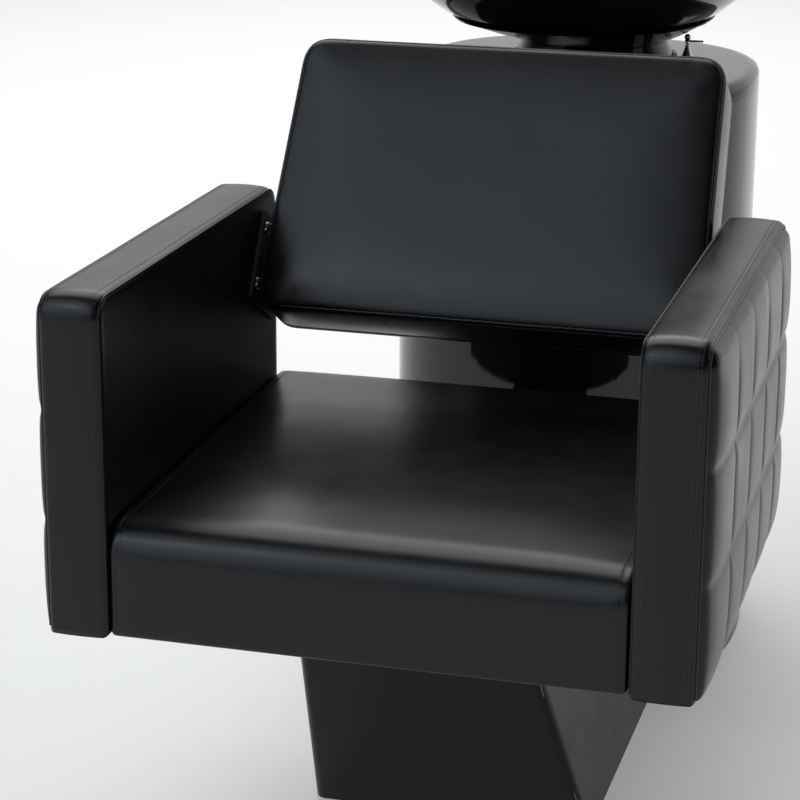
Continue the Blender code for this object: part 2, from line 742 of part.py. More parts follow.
def hinge_leaf(name, axis_x, axis_y, side):
    """A thin strip that lies on the wall beside the hinge's barrel; side is +1 on the door."""
    near, far = (axis_x + side * reach for reach in (HINGE_RADIUS + 0.0012, 0.022))
    section = [(near, wall_clear(near)), (far, wall_clear(far)),
               (far, wall_clear(far) + LEAF_THICK), (near, wall_clear(near) + LEAF_THICK)]
    return loft(name, [[(x, y, z) for x, y in section] for z in (0.200, 0.580)], STEEL)


def hinge_lug(axis_x, axis_y, side, low, high):
    """The wedge that joins a knuckle to its leaf."""
    near, middle, far = (axis_x + side * reach for reach in (0.0024, 0.0065, 0.0100))
    section = [(near, wall_clear(near)), (middle, wall_clear(middle)), (far, wall_clear(far)),
               (far, wall_clear(far) + LEAF_THICK), (near, axis_y + 0.001)]
    return loft("hinge_lug", [[(x, y, z) for x, y in section] for z in (low, high)], None)


def wall_clear(x):
    return cabinet_wall_y(x) + 0.0008


# ---------------------------------------------------------------- water supply and waste

def make_plumbing():
    """Stop valves with handles, supply hoses, and the trap with its outlet and bellows."""
    for side, name, tint in ((-1, "hot", RED_CAP), (1, "cold", BLUE_CAP)):
        x = side * VALVE_X
        axis_z = VALVE_AXIS_Z
        turned(name + "_valve", [
            (0.0, VALVE_TOP), (0.0075, VALVE_TOP), (0.0075, axis_z + 0.022),
            (0.012, axis_z + 0.018), (0.015, axis_z + 0.012), (0.015, axis_z - 0.012),
            (0.012, axis_z - 0.018), (0.0075, axis_z - 0.022), (0.0075, 0.0), (0.0, 0.0)],
            BRASS, (x, VALVE_Y, 0.0), 14)
        axis = new_empty(name + "_handle_axis", (x, VALVE_Y, axis_z), FRONT_LINE)
        stem_y = VALVE_Y + 0.0155
        handle = cylinder(name + "_handle", 0.007, 0.016, (x, stem_y + 0.008, axis_z), "Y", tint, 16)
        blade = box("handle_blade", (x - 0.006, stem_y + 0.011, axis_z - 0.006),
                    (x + 0.006, stem_y + 0.0145, axis_z + 0.050), None, 0.001, 1)
        fuse(handle, blade)
        ride(axis, handle, blade)
        route = [(x, VALVE_Y, VALVE_TOP + GAP), (x, VALVE_Y + 0.002, 0.40),
                 (side * 0.094, 1.112, 0.47), (side * 0.074, 1.133, 0.56),
                 (side * 0.052, 1.147, 0.66), (side * 0.037, 1.152, 0.74),
                 (side * 0.028, 1.156, 0.79), (side * 0.020, 1.168, 0.835),
                 (side * 0.0135, 1.181, 0.88), (side * 0.0125, 1.183, 0.9205)]
        tube(name + "_hose", smooth_path(route, 18), HOSE_RADIUS, BRAID)
    trap = turned("waste_trap", [
        (0.0, TRAP_TOP), (0.021, TRAP_TOP), (0.021, TRAP_TOP - 0.05), (0.030, TRAP_TOP - 0.058),
        (0.033, TRAP_TOP - 0.066), (0.033, TRAP_TOP - 0.125), (0.027, TRAP_TOP - 0.145),
        (0.012, TRAP_TOP - 0.152), (0.0, TRAP_TOP - 0.152)],
        GREY_PLASTIC, (0.0, TILT_Y, 0.0), 18)
    outlet = curve_to_mesh(tube("trap_outlet", smooth_path([
        (0.0, TILT_Y + 0.018, 0.372), (0.0, 1.135, 0.371), (0.0, 1.163, 0.355),
        (0.0, OUTLET_Y, 0.315), (0.0, OUTLET_Y, 0.20), (0.0, OUTLET_Y, 0.001)], 16),
        0.019, GREY_PLASTIC, sides=3))
    fuse(trap, outlet)
    top = WASTE_TAIL - GAP
    bottom = TRAP_TOP + GAP
    pitch = (top - bottom) / HOSE_RIBS
    profile = [(0.0, top), (0.0185, top)]
    for i in range(HOSE_RIBS):
        profile.append((0.0215, top - (i + 0.35) * pitch))
        profile.append((0.0215, top - (i + 0.55) * pitch))
        profile.append((0.0185, top - (i + 1) * pitch))
    turned("waste_hose", profile + [(0.0, bottom)], RIBBED_HOSE, (0.0, TILT_Y, 0.0), 14)


# ---------------------------------------------------------------- bowl

# Stations of the bowl's section: middle y, half width, half depth, power, z, share of the rim's
# fall. The section runs up the outer skirt, over the rim, down the basin and back underneath.
SKIRT = [
    (1.010, 0.160, 0.186, 2.10, 0.8215, 0.0),
    (1.003, 0.180, 0.203, 2.15, 0.8320, 0.0),
    (0.996, 0.202, 0.222, 2.20, 0.8510, 0.0),
    (0.989, 0.221, 0.241, 2.30, 0.8780, 0.2),
    (0.984, 0.235, 0.255, 2.40, 0.9120, 0.6),
    (0.981, 0.243, 0.263, 2.50, 0.9450, 1.0),
]
RIM = [
    (0.981, 0.2452, 0.2652, 2.50, 0.9560, 1.0),
    (0.981, 0.2440, 0.2640, 2.50, 0.9622, 1.0),
    (0.981, 0.2402, 0.2602, 2.50, LEDGE_Z, 1.0),
    (0.932, 0.2150, 0.1940, 2.50, LEDGE_Z, 1.0),
    (0.932, 0.2112, 0.1902, 2.50, 0.9622, 1.0),
    (0.932, 0.2090, 0.1880, 2.50, 0.9550, 1.0),
]
BASIN = [
    (0.935, 0.203, 0.1820, 2.50, 0.9280, 0.7),
    (0.944, 0.191, 0.1710, 2.40, 0.8900, 0.25),
    (0.960, 0.170, 0.1520, 2.30, 0.8530, 0.0),
    (0.993, 0.132, 0.1180, 2.20, 0.8270, 0.0),
    (1.035, 0.080, 0.0800, 2.00, 0.8120, 0.0),
    (TILT_Y, 0.0370, 0.0370, 2.0, 0.8015, 0.0),
    (TILT_Y, 0.0325, 0.0325, 2.0, DRAIN_Z, 0.0),
    (TILT_Y, 0.0245, 0.0245, 2.0, DRAIN_Z, 0.0),
    (TILT_Y, 0.0245, 0.0245, 2.0, 0.7895, 0.0),
]
UNDERSIDE = [
    (TILT_Y, 0.0410, 0.0410, 2.0, 0.7895, 0.0),
    (1.035, 0.087, 0.0870, 2.00, 0.8035, 0.0),
    (0.993, 0.140, 0.1260, 2.20, 0.8190, 0.0),
    (0.960, 0.179, 0.1605, 2.30, 0.8480, 0.0),
    (0.944, 0.199, 0.1790, 2.40, 0.8880, 0.25),
    (0.935, 0.211, 0.1900, 2.50, 0.9260, 0.7),
    (0.932, 0.219, 0.1980, 2.50, 0.9500, 1.0),
    (0.981, 0.235, 0.2550, 2.50, 0.9500, 1.0),
    (0.981, 0.234, 0.2540, 2.50, 0.9400, 1.0),
    (0.984, 0.227, 0.2470, 2.40, 0.9100, 0.6),
    (0.989, 0.213, 0.2330, 2.30, 0.8780, 0.2),
    (0.996, 0.194, 0.2140, 2.20, 0.8550, 0.0),
    (1.003, 0.173, 0.1960, 2.15, 0.8385, 0.0),
    (1.010, 0.153, 0.1790, 2.10, 0.8245, 0.0),
]


def make_bowl():
    stations = SKIRT + RIM + BASIN + UNDERSIDE
    bowl = smooth(loft("bowl_basin", [bowl_ring(s) for s in stations], CERAMIC, closed=True), 50)
    hole(bowl, 0.0125, 0.06, (MIXER[0], MIXER[1], LEDGE_Z), "Z", 16)
    hole(bowl, 0.0175, 0.06, (SHOWER[0], SHOWER[1], LEDGE_Z), "Z", 20)
    saucer = [
        (TILT_Y, 0.0962, 0.0962, 2.0, NECK_TOP + GAP, 0.0),
        (1.050, 0.128, 0.1380, 2.05, 0.7950, 0.0),
        (1.010, 0.1650, 0.1910, 2.1, 0.8180, 0.0),
        (1.010, 0.1662, 0.1922, 2.1, 0.8200, 0.0),
        (1.010, 0.1640, 0.1900, 2.1, 0.8210, 0.0),
        (1.010, 0.1540, 0.1800, 2.1, 0.8207, 0.0),
        (1.050, 0.124, 0.1340, 2.05, 0.7985, 0.0),
        (TILT_Y, 0.0925, 0.0925, 2.0, 0.7810, 0.0),
        (TILT_Y, 0.0915, 0.0915, 2.0, NECK_TOP + GAP, 0.0),
    ]
    dish = smooth(loft("bowl_saucer", [bowl_ring(s) for s in saucer], GLOSS_BLACK, closed=True))
    return [bowl, dish, make_neck_rest(), make_neck()]


def make_neck():
    """A zone of a ball with a thin wall, and a trunnion pin at either side."""
    heights = [NECK_TOP + (NECK_BOTTOM - NECK_TOP) * i / 5 - TILT_Z for i in range(6)]
    outer = [(math.sqrt(BALL_RADIUS ** 2 - h * h), h) for h in heights]
    inner = [(r - NECK_WALL, h) for r, h in reversed(outer)]
    neck = turned("bowl_neck", outer + inner, GLOSS_BLACK, (0.0, TILT_Y, TILT_Z), 44, closed=True)
    for side in (-1, 1):
        inner_end = BALL_RADIUS - NECK_WALL + 0.0005
        outer_end = 0.130
        pin = cylinder("trunnion", 0.006, outer_end - inner_end,
                       (side * (inner_end + outer_end) / 2, TILT_Y, TILT_Z), "X", None, 16)
        fuse(neck, pin)
        boss = cylinder("trunnion_boss", 0.010, 0.012, (side * 0.1075, TILT_Y, TILT_Z), "X", None,
                        16)
        fuse(neck, boss)
    return neck


def make_pivot_brackets():
    """Angle brackets under the deck; each holds one trunnion pin in its hole."""
    top = DECK_TOP - DECK_WALL - GAP
    for side, name in ((-1, "left"), (1, "right")):
        xs = sorted((side * 0.118, side * 0.123))
        bracket = box("pivot_bracket_" + name, (xs[0], TILT_Y - 0.025, 0.712),
                      (xs[1], TILT_Y + 0.025, top), STEEL)
        flange_x = sorted((side * 0.1225, side * 0.152))
        flange = box("pivot_flange", (flange_x[0], TILT_Y - 0.025, top - 0.004),
                     (flange_x[1], TILT_Y + 0.025, top), None)
        fuse(bracket, flange)
        hole(bracket, 0.0064, 0.03, (side * 0.1205, TILT_Y, TILT_Z), "X", 16)


def make_neck_rest():
    """A soft saddle over the notch in the front of the rim."""
    clear = 0.0006
    thick = 0.0060

    def grown(station, out, up):
        middle, half_x, half_y, power, z, share = station
        return middle, half_x + out, half_y + out, power, z + up, share

    def layer(g):
        outside = [grown(s, g, 0.0) for s in SKIRT[4:6]]
        crown = [grown(RIM[0], g, g * 0.3), grown(RIM[1], g * 0.75, g * 0.75),
                 grown(RIM[2], 0.0, g), grown(RIM[3], 0.0, g),
                 grown(RIM[4], -g * 0.75, g * 0.75), grown(RIM[5], -g, g * 0.3)]
        inside = [grown(BASIN[0], -g, 0.0)]
        return outside + crown + inside

    section = layer(clear) + list(reversed(layer(thick)))
    middle = 3 * BOWL_STEPS // 4
    rings = []
    for i in range(middle - 3, middle + 4):
        angle = 2 * math.pi * i / BOWL_STEPS
        rings.append([bowl_point(s, angle) for s in section])
    return smooth(loft("neck_rest", rings, RUBBER), 60)


def make_waste():
    flange = turned("waste_flange", [
        (0.0200, 0.0030), (0.0290, 0.0030), (0.0315, GAP), (0.0236, GAP),
        (0.0236, WASTE_TAIL - DRAIN_Z), (0.0200, WASTE_TAIL - DRAIN_Z)],
        CHROME, (0.0, TILT_Y, DRAIN_Z), 22, closed=True)
    strainer = turned("hair_strainer", [
        (0.0, 0.0100), (0.0050, 0.0094), (0.0075, 0.0065), (0.0240, 0.0052), (0.0255, 0.0033),
        (0.0190, 0.0033), (0.0180, -0.0120), (0.0120, -0.0150), (0.0, -0.0150)],
        CHROME, (0.0, TILT_Y, DRAIN_Z), 22)
    return flange, strainer


# ---------------------------------------------------------------- ledge fittings

def make_mixer():
    x, y = MIXER
    base = LEDGE_Z + GAP
    body = turned("mixer_body", [
        (0.0, CAP_BASE - GAP), (MIXER_RADIUS, CAP_BASE - GAP), (MIXER_RADIUS, base + 0.007),
        (0.0280, base + 0.004), (0.0290, base), (0.0120, base), (0.0120, 0.9210), (0.0, 0.9210)],
        CHROME, (x, y, 0.0), 24)
    cap = turned("mixer_cap", [
        (0.0, 0.0225), (0.008, 0.0217), (0.0155, 0.0180), (0.0205, 0.0115), (MIXER_RADIUS, 0.004),
        (MIXER_RADIUS, 0.0), (0.0, 0.0)], CHROME, (x, y, CAP_BASE), 24)
    slot = box("lever_slot", (x - 0.0037, y - 0.030, LEVER_AXIS_Z - 0.0085),
               (x + 0.0037, y + 0.0085, LEVER_AXIS_Z + 0.02), None)
    cut(cap, slot)
    lever = cylinder("mixer_lever", 0.0068, 0.0064, (x, y, LEVER_AXIS_Z), "X", CHROME, 20)
    stations = [(0.000, 0.0000, 0.0031, 0.0050), (0.020, 0.0040, 0.0031, 0.0046),
                (0.028, 0.0070, 0.0050, 0.0040), (0.050, 0.0140, 0.0085, 0.0032),
                (0.085, 0.0230, 0.0095, 0.0026), (0.100, 0.0262, 0.0070, 0.0018)]
    rings = []
    for reach, rise, half, thick in stations:
        z = LEVER_AXIS_Z + rise
        rings.append([(x - half, y - reach, z - thick), (x - half * 0.8, y - reach, z + thick),
                      (x + half * 0.8, y - reach, z + thick), (x + half, y - reach, z - thick)])
    blade = loft("lever_blade", rings, None)
    fuse(lever, blade)
    cap_axis = new_empty("mixer_turn_axis", (x, y, CAP_BASE), FRONT_LINE)
    lever_axis = new_empty("mixer_lift_axis", (x, y, LEVER_AXIS_Z), FRONT_LINE)
    ride(cap_axis, cap, slot)
    ride(lever_axis, lever, blade)
    return body, cap_axis, lever_axis


def make_shower():
    x, y = SHOWER
    base = LEDGE_Z + GAP
    socket = turned("shower_socket", [
        (0.0150, 0.992), (0.0185, 0.992), (0.0200, 0.989), (0.0205, base + 0.006),
        (0.0250, base + 0.003), (0.0255, base), (0.0170, base), (0.0170, 0.938),
        (0.0150, 0.938)], CHROME, (x, y, 0.0), 20, closed=True)
    route = [(x, y, 0.945), (x, y, 0.985), (x, y - 0.001, 1.020), (x, y - 0.010, 1.050),
             (x, y - 0.030, 1.073), (x, y - 0.056, 1.084)]
    path = smooth_path(route, 15)
    radii = [handset_radius(i / 14) for i in range(15)]
    handset = tube("hand_shower", path, 0.0140, GLOSS_BLACK, radii, sides=4)
    return socket, handset


def handset_radius(share):
    """The handset's thickness along its length: a slim stem that swells to the spray face."""
    return 1.0 + 0.75 * max(0.0, share - 0.45) / 0.55


def make_tilt_lock():
    """A cone with a ball end and a short cross bar; its shank passes through the deck."""
    x, y = LOCK
    lever = turned("tilt_lock_lever", [
        (0.0, 0.0355), (0.0022, 0.0350), (0.0040, 0.0325), (0.0042, 0.0300), (0.0026, 0.0272),
        (0.0022, 0.0250), (0.0030, 0.0180), (0.0070, 0.0060), (0.0090, 0.0018),
        (0.0090, GAP), (0.0030, GAP), (0.0030, -0.0200), (0.0, -0.0200)],
        CHROME, (x, y, DECK_TOP), 14)
    bar = cylinder("lock_bar", 0.0014, 0.024, (x + 0.0085, y, DECK_TOP + 0.0262), "X", None, 10)
    fuse(lever, bar)
    axis = new_empty("tilt_lock_axis", (x, y, DECK_TOP), FRONT_LINE)
    ride(axis, lever, bar)


# ---------------------------------------------------------------- assembly

def build():
    make_cabinet()
    make_cabinet_base()
    make_deck()
    make_plinth()
    make_support()
    make_seat()
    make_arm(-1, "left")
    make_arm(1, "right")
    make_backrest()
    make_door()
    make_plumbing()
    make_pivot_brackets()
    make_tilt_lock()
    tilt_axis = new_empty("bowl_tilt_axis", (0.0, TILT_Y, TILT_Z), FRONT_LINE)
    fixed_to_bowl = make_bowl()
    flange, strainer = make_waste()
    body, cap_axis, lever_axis = make_mixer()
    socket, handset = make_shower()
    bpy.context.view_layer.update()
    ride(tilt_axis, *fixed_to_bowl, flange, strainer, body, socket, handset, cap_axis)
    lever_axis.location = Vector(lever_axis.location) - Vector(MIXER + (CAP_BASE,))
    lever_axis.parent = cap_axis
    for modifier_owner in fixed_to_bowl:
        follow_with_tools(modifier_owner, tilt_axis)


def follow_with_tools(obj, axis):
    """Boolean tools stay in place with the piece that they shape."""
    for modifier in obj.modifiers:
        if modifier.type == "BOOLEAN":
            tool = modifier.object
            tool.location = Vector(tool.location) - Vector(axis.location)
            tool.parent = axis


clear_scene()
PARTS = new_collection(NAME)
CUTTERS = new_collection(NAME + "_cutters")
LEATHER = new_material("black_leatherette", (0.014, 0.014, 0.016), 0.42)
GLOSS_BLACK = new_material("gloss_black", (0.006, 0.006, 0.007), 0.06)
SATIN_BLACK = new_material("satin_black", (0.020, 0.019, 0.020), 0.38)
CERAMIC = new_material("black_ceramic", (0.005, 0.005, 0.006), 0.04)
CHROME = new_material("chrome", (0.80, 0.81, 0.83), 0.06, 1.0)
STEEL = new_material("black_painted_steel", (0.020, 0.020, 0.022), 0.45)
ZINC = new_material("zinc_plated_steel", (0.62, 0.63, 0.64), 0.32, 1.0)
BRASS = new_material("nickel_plated_brass", (0.66, 0.64, 0.58), 0.22, 1.0)
PLYWOOD = new_material("plywood", (0.46, 0.32, 0.19), 0.70)
BLACK_BOARD = new_material("black_laminated_board", (0.018, 0.018, 0.019), 0.50)
RUBBER = new_material("black_rubber", (0.018, 0.018, 0.019), 0.60)
GREY_PLASTIC = new_material("grey_plastic", (0.33, 0.34, 0.35), 0.45)
RIBBED_HOSE = new_material("light_grey_hose", (0.48, 0.49, 0.50), 0.50)
BRAID = new_material("steel_braid", (0.55, 0.56, 0.57), 0.35, 1.0)
RED_CAP = new_material("red_plastic", (0.55, 0.02, 0.02), 0.40)
BLUE_CAP = new_material("blue_plastic", (0.02, 0.08, 0.50), 0.40)
FRONT_LINE = new_empty("front_line", (0.0, -LENGTH / 2, 0.0))
build()
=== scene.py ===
"""Looks for the shampoo backwash unit.

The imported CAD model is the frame. Upholstery, hoses, seams and stitching are built here around it,
and every surface gets a procedural material. Lengths are in metres, +Z is up, the seat faces -Y.
"""
import json
import math

import bmesh
import bpy
import numpy as np
from mathutils import Matrix, Vector
from mathutils.bvhtree import BVHTree


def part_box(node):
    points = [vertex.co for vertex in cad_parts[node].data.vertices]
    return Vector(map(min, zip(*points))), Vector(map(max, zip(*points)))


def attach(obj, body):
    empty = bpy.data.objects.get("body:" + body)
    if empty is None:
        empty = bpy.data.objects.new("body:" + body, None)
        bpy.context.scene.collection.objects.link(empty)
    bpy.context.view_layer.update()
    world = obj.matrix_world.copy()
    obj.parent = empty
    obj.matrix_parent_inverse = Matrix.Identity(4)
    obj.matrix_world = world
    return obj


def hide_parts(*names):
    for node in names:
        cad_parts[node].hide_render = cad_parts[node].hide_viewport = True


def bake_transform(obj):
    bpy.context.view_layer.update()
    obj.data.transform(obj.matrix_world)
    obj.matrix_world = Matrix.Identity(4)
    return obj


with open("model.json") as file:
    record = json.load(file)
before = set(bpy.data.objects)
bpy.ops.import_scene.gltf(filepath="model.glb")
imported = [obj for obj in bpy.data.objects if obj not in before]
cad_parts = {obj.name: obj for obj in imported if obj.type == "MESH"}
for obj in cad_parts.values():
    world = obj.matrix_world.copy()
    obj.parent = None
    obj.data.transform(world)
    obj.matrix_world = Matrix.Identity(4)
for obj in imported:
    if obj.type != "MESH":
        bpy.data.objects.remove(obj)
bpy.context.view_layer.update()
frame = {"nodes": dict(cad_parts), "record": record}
NODES = frame["nodes"]
SCENE = bpy.context.scene

# Camera, as recovered from the photograph's straight edges
CAMERA_PLACE = Vector((0.623, -2.741, 1.284))
CAMERA_AZIMUTH = math.radians(15.47)
CAMERA_PITCH = math.radians(17.23)
CAMERA_ROLL = math.radians(0.355)
CAMERA_LENS = 111.5

# The world's broad soft light: in front, to the left and above, as seen from the object
SOFTBOX_DIRECTION = (-0.45, -0.70, 0.55)
SOFTBOX_GLOW = 1.5

# The floor has one colour and one faint glow all over
FLOOR_REACH = 14.0
FLOOR_COLOUR = (0.80, 0.80, 0.80)
FLOOR_GLOW = 0.22

# Upholstery
FINE = 0.006            # mesh step of the padded pieces
STITCH_PITCH = 0.0042
STITCH_RADIUS = 0.00042
STITCH_DIP = 0.00055    # how deep a stitch's two ends go into the cover
WELT_RADIUS = 0.0012
PIPING_RADIUS = 0.0021

# Cloth simulation that swells a cover
SWELL_FRAMES = 20
SWELL_PRESSURE = 4.0
SWELL_STIFFNESS = 18.0

# Seat cover: its corner radii are at the bottom front, bottom rear, top front and top rear
SEAT_CORNERS = (0.004, 0.004, 0.033, 0.014)
SEAT_EDGE = 0.0050      # rounding along both side panels
SEAT_TOP_FRONT = 0.4510
SEAT_REAR_RISE = 0.0085     # how far its top rear stands over the CAD solid
SEAT_OVERHANG = 0.0014      # how far each side stands past the CAD solid
SEAT_CROWN = 0.0035
SEAT_CROWN_HEIGHTS = (0.40, 0.44)   # between them the crown comes in
SEAT_SWELL = (0.0008, 0.0045)       # the most at the edges, and the rest on top
SEAT_SEAM_INSET = 0.0075

# Backrest plane: its foot and how far it leans back
BACK_TILT = math.radians(31.7)
BACK_FOOT = Vector((0.0, -0.186, 0.575))

# Backrest cover, in the backrest's own frame (x, height along the slope, depth)
BACK_HALF_U = 0.2485
BACK_LOW = -0.0195
BACK_HIGH = 0.3110
BACK_DEPTH = 0.088
BACK_LEAD = 0.006       # how far its front stands ahead of the CAD solid's
BACK_CORNER = 0.028
BACK_EDGES = (0.011, 0.006)         # rounding of the front's and the rear's edges
BACK_FLARE = (1.024, 0.983)         # width at the bottom and at the top, as shares

# The CAD solid and its backing board, in the same frame
PAD_HALF_U = 0.243
PAD_HALF_V = 0.152
BOARD_INSET = 0.028
BOARD_FRONT = 0.0681
BOARD_MARGIN = 0.005

# Arms
ARM_BAND = 0.0640       # the band across an arm's front, top and rear
ARM_CORNER = 0.0235
ARM_PADDING = 0.0055    # thickness of the padded cover
QUILT_COLUMNS = 5
QUILT_ROWS = 3
QUILT_STEP = 0.0047     # mesh step of a quilted pad

# Supply hoses and the waste hose
HOSE_STEP = 0.0028
HOSE_RADIUS = 0.0062
HOSE_RIB = 0.00018
HOSE_RIB_PITCH = 0.0056
CRIMP_RADIUS = 0.0074
CRIMP_LENGTH = 0.026
BELLOWS_RIBS = 30
BELLOWS_END = 0.0170
BELLOWS_RIB = ((0.12, 0.0186), (0.34, 0.0214), (0.50, 0.0217), (0.66, 0.0214), (0.88, 0.0186))
BELLOWS_SIDES = 48

MAP_SOCKETS = ("From Min", "From Max", "To Min", "To Max")


# ---------------------------------------------------------------- camera, light and floor

def make_camera():
    data = bpy.data.cameras.new("camera")
    data.lens = CAMERA_LENS
    data.sensor_width = 36.0
    data.clip_start = 0.05
    camera = bpy.data.objects.new("camera", data)
    SCENE.collection.objects.link(camera)
    az, pitch, roll = CAMERA_AZIMUTH, CAMERA_PITCH, CAMERA_ROLL
    ahead = Vector((-math.sin(az) * math.cos(pitch), math.cos(az) * math.cos(pitch),
                    -math.sin(pitch)))
    right = Vector((math.cos(az), math.sin(az), 0.0))
    up = right.cross(ahead)
    side = right * math.cos(roll) + up * math.sin(roll)
    top = up * math.cos(roll) - right * math.sin(roll)
    camera.matrix_world = Matrix((
        (side.x, top.x, -ahead.x, CAMERA_PLACE.x),
        (side.y, top.y, -ahead.y, CAMERA_PLACE.y),
        (side.z, top.z, -ahead.z, CAMERA_PLACE.z),
        (0.0, 0.0, 0.0, 1.0)))
    SCENE.camera = camera


def make_world():
    """A studio: bright low down behind the object, dim elsewhere, one broad soft light in front."""
    world = bpy.data.worlds.new("studio")
    world.use_nodes = True
    SCENE.world = world
    kit = Nodes(world, "Background")
    outward = kit.add("TexCoord").outputs["Generated"]
    x, y, z = kit.add("SeparateXYZ", outward).outputs
    toward = kit.add("VectorMath")
    toward.operation = "DOT_PRODUCT"
    toward.inputs[1].default_value = Vector(SOFTBOX_DIRECTION).normalized()
    kit.link(outward, toward.inputs[0])
    behind = kit.spread(y, 0.0, 0.75, 0.10, 0.80, "SMOOTHSTEP")
    low = kit.spread(z, 1.0, 0.08, 0.34, 0.80, "SMOOTHSTEP")
    dim = kit.spread(x, 0.05, 0.02, -1.0, 0.6, "SMOOTHSTEP")
    softbox = kit.spread(toward.outputs["Value"], 0.0, SOFTBOX_GLOW, 0.72, 1.0, "SMOOTHSTEP")
    total = kit.math("ADD", kit.math("MULTIPLY", behind, low), dim)
    kit.link(kit.math("ADD", total, softbox), kit.shader.inputs["Strength"])
    warmth = kit.spread(y, 0.0, 1.0, -0.3, 0.4, "SMOOTHSTEP")
    tint = kit.ramp(warmth, [(0.0, (0.80, 0.895, 1.0)), (1.0, (1.0, 0.985, 0.96))])
    kit.link(tint, kit.shader.inputs["Color"])


def area_light(name, place, target, size, power, colour=(1.0, 1.0, 1.0)):
    data = bpy.data.lights.new(name, "AREA")
    data.shape = "RECTANGLE"
    data.size, data.size_y = size
    data.energy = power
    data.color = colour
    light = bpy.data.objects.new(name, data)
    SCENE.collection.objects.link(light)
    light.location = place
    light.rotation_euler = (Vector(target) - Vector(place)).to_track_quat("-Z", "Y").to_euler()


def make_lights():
    """A cool key in front, a large light over the floor behind and a weak warm fill."""
    area_light("key_softbox", (-1.6, -3.2, 2.9), (0.0, -0.1, 0.6), (0.9, 0.7), 5.0,
               (0.93, 0.96, 1.0))
    area_light("floor_wash", (-1.3, 3.6, 4.5), (-1.3, 3.601, 0.0), (4.2, 7.0), 220)
    area_light("right_fill", (2.6, 0.2, 1.1), (0.2, -0.2, 0.4), (0.8, 1.4), 1.0,
               (1.0, 0.94, 0.88))


def make_floor():
    """A plain pale floor, the same all over; only the lights shade it."""
    mesh = bpy.data.meshes.new("floor")
    corners = [(x * FLOOR_REACH, y * FLOOR_REACH, 0)
               for x, y in ((-1, -1), (1, -1), (1, 1), (-1, 1))]
    mesh.from_pydata(corners, [], [(0, 1, 2, 3)])
    floor = bpy.data.objects.new("floor", mesh)
    SCENE.collection.objects.link(floor)
    material = new_material("studio_floor", FLOOR_COLOUR, 0.80)
    shader = shader_of(material)
    shader.inputs["Emission Color"].default_value = (1.0, 1.0, 1.0, 1.0)
    shader.inputs["Emission Strength"].default_value = FLOOR_GLOW
    mesh.materials.append(material)


# ---------------------------------------------------------------- material helpers

def new_material(name, colour, roughness, metallic=0.0):
    material = bpy.data.materials.new(name)
    material.use_nodes = True
    shader = shader_of(material)
    shader.inputs["Base Color"].default_value = (*colour, 1.0)
    shader.inputs["Roughness"].default_value = roughness
    shader.inputs["Metallic"].default_value = metallic
    return material


def shader_of(material):
    return material.node_tree.nodes["Principled BSDF"]


class Nodes:
    """Small helper to add and link shader nodes; a material's work in metres of the row frame."""

    def __init__(self, owner, shader="Principled BSDF"):
        self.tree = owner.node_tree
        self.shader = self.tree.nodes[shader]
        self.place = self.add("TexCoord").outputs["Object"]

    def link(self, output, target):
        self.tree.links.new(output, target)

    def add(self, kind, vector=None, **values):
        """A new node with its inputs set; its vector is linked where one is given."""
        node = self.tree.nodes.new("ShaderNode" + kind)
        for name, value in values.items():
            node.inputs[name].default_value = value
        if vector:
            self.link(vector, node.inputs["Vector"])
        return node

    def stretched(self, scale):
        return self.add("Mapping", self.place, Scale=scale).outputs[0]

    def noise(self, scale, detail=2.0, vector=None, distortion=0.0):
        return self.add("TexNoise", vector or self.place, Scale=scale, Detail=detail,
                        Distortion=distortion).outputs["Fac"]

    def cells(self, scale, feature, output="Distance"):
        node = self.add("TexVoronoi", self.place, Scale=scale)
        node.feature = feature
        return node.outputs[output]

    def wave(self, scale, distortion, direction, vector=None, detail=2.0):
        node = self.add("TexWave", vector or self.place, Scale=scale, Distortion=distortion,
                        Detail=detail)
        node.bands_direction = direction
        return node.outputs["Fac"]

    def spread(self, value, low, high, start, end, kind="LINEAR"):
        """Takes a value from (start, end) to (low, high)."""
        node = self.add("MapRange")
        node.interpolation_type = kind
        for socket, limit in zip(MAP_SOCKETS, (start, end, low, high)):
            node.inputs[socket].default_value = limit
        self.link(value, node.inputs["Value"])
        return node.outputs["Result"]

    def math(self, operation, first, second):
        node = self.add("Math")
        node.operation = operation
        for socket, value in zip(node.inputs, (first, second)):
            if isinstance(value, (int, float)):
                socket.default_value = value
            else:
                self.link(value, socket)
        return node.outputs[0]

    def mix(self, first, second, share):
        """A share of the first value and the rest of the second."""
        return self.math("ADD", self.math("MULTIPLY", first, share),
                         self.math("MULTIPLY", second, 1.0 - share))

    def ramp(self, value, stops):
        node = self.add("ValToRGB")
        ramp = node.color_ramp
        while len(ramp.elements) < len(stops):
            ramp.elements.new(0.5)
        for element, (place, colour) in zip(ramp.elements, stops):
            element.position = place
            element.color = (*colour, 1.0)
        self.link(value, node.inputs["Fac"])
        return node.outputs["Color"]

    def colour(self, value, low, high):
        self.link(self.ramp(value, [(0.0, low), (1.0, high)]), self.shader.inputs["Base Color"])

    def roughness(self, value, low, high, start=0.3, end=0.7):
        self.link(self.spread(value, low, high, start, end), self.shader.inputs["Roughness"])

    def bump(self, layers):
        """Layers of (height, strength, distance in metres), the coarsest first."""
        normal = None
        for height, strength, distance in layers:
            node = self.add("Bump", Strength=strength, Distance=distance)
            self.link(height, node.inputs["Height"])
            if normal is not None:
                self.link(normal, node.inputs["Normal"])
            normal = node.outputs["Normal"]
        self.link(normal, self.shader.inputs["Normal"])


def edge_wear(kit):
    """Where edges stand out, from the shape itself."""
    return kit.spread(kit.add("NewGeometry").outputs["Pointiness"], 0.0, 1.0, 0.50, 0.56)


# ---------------------------------------------------------------- materials

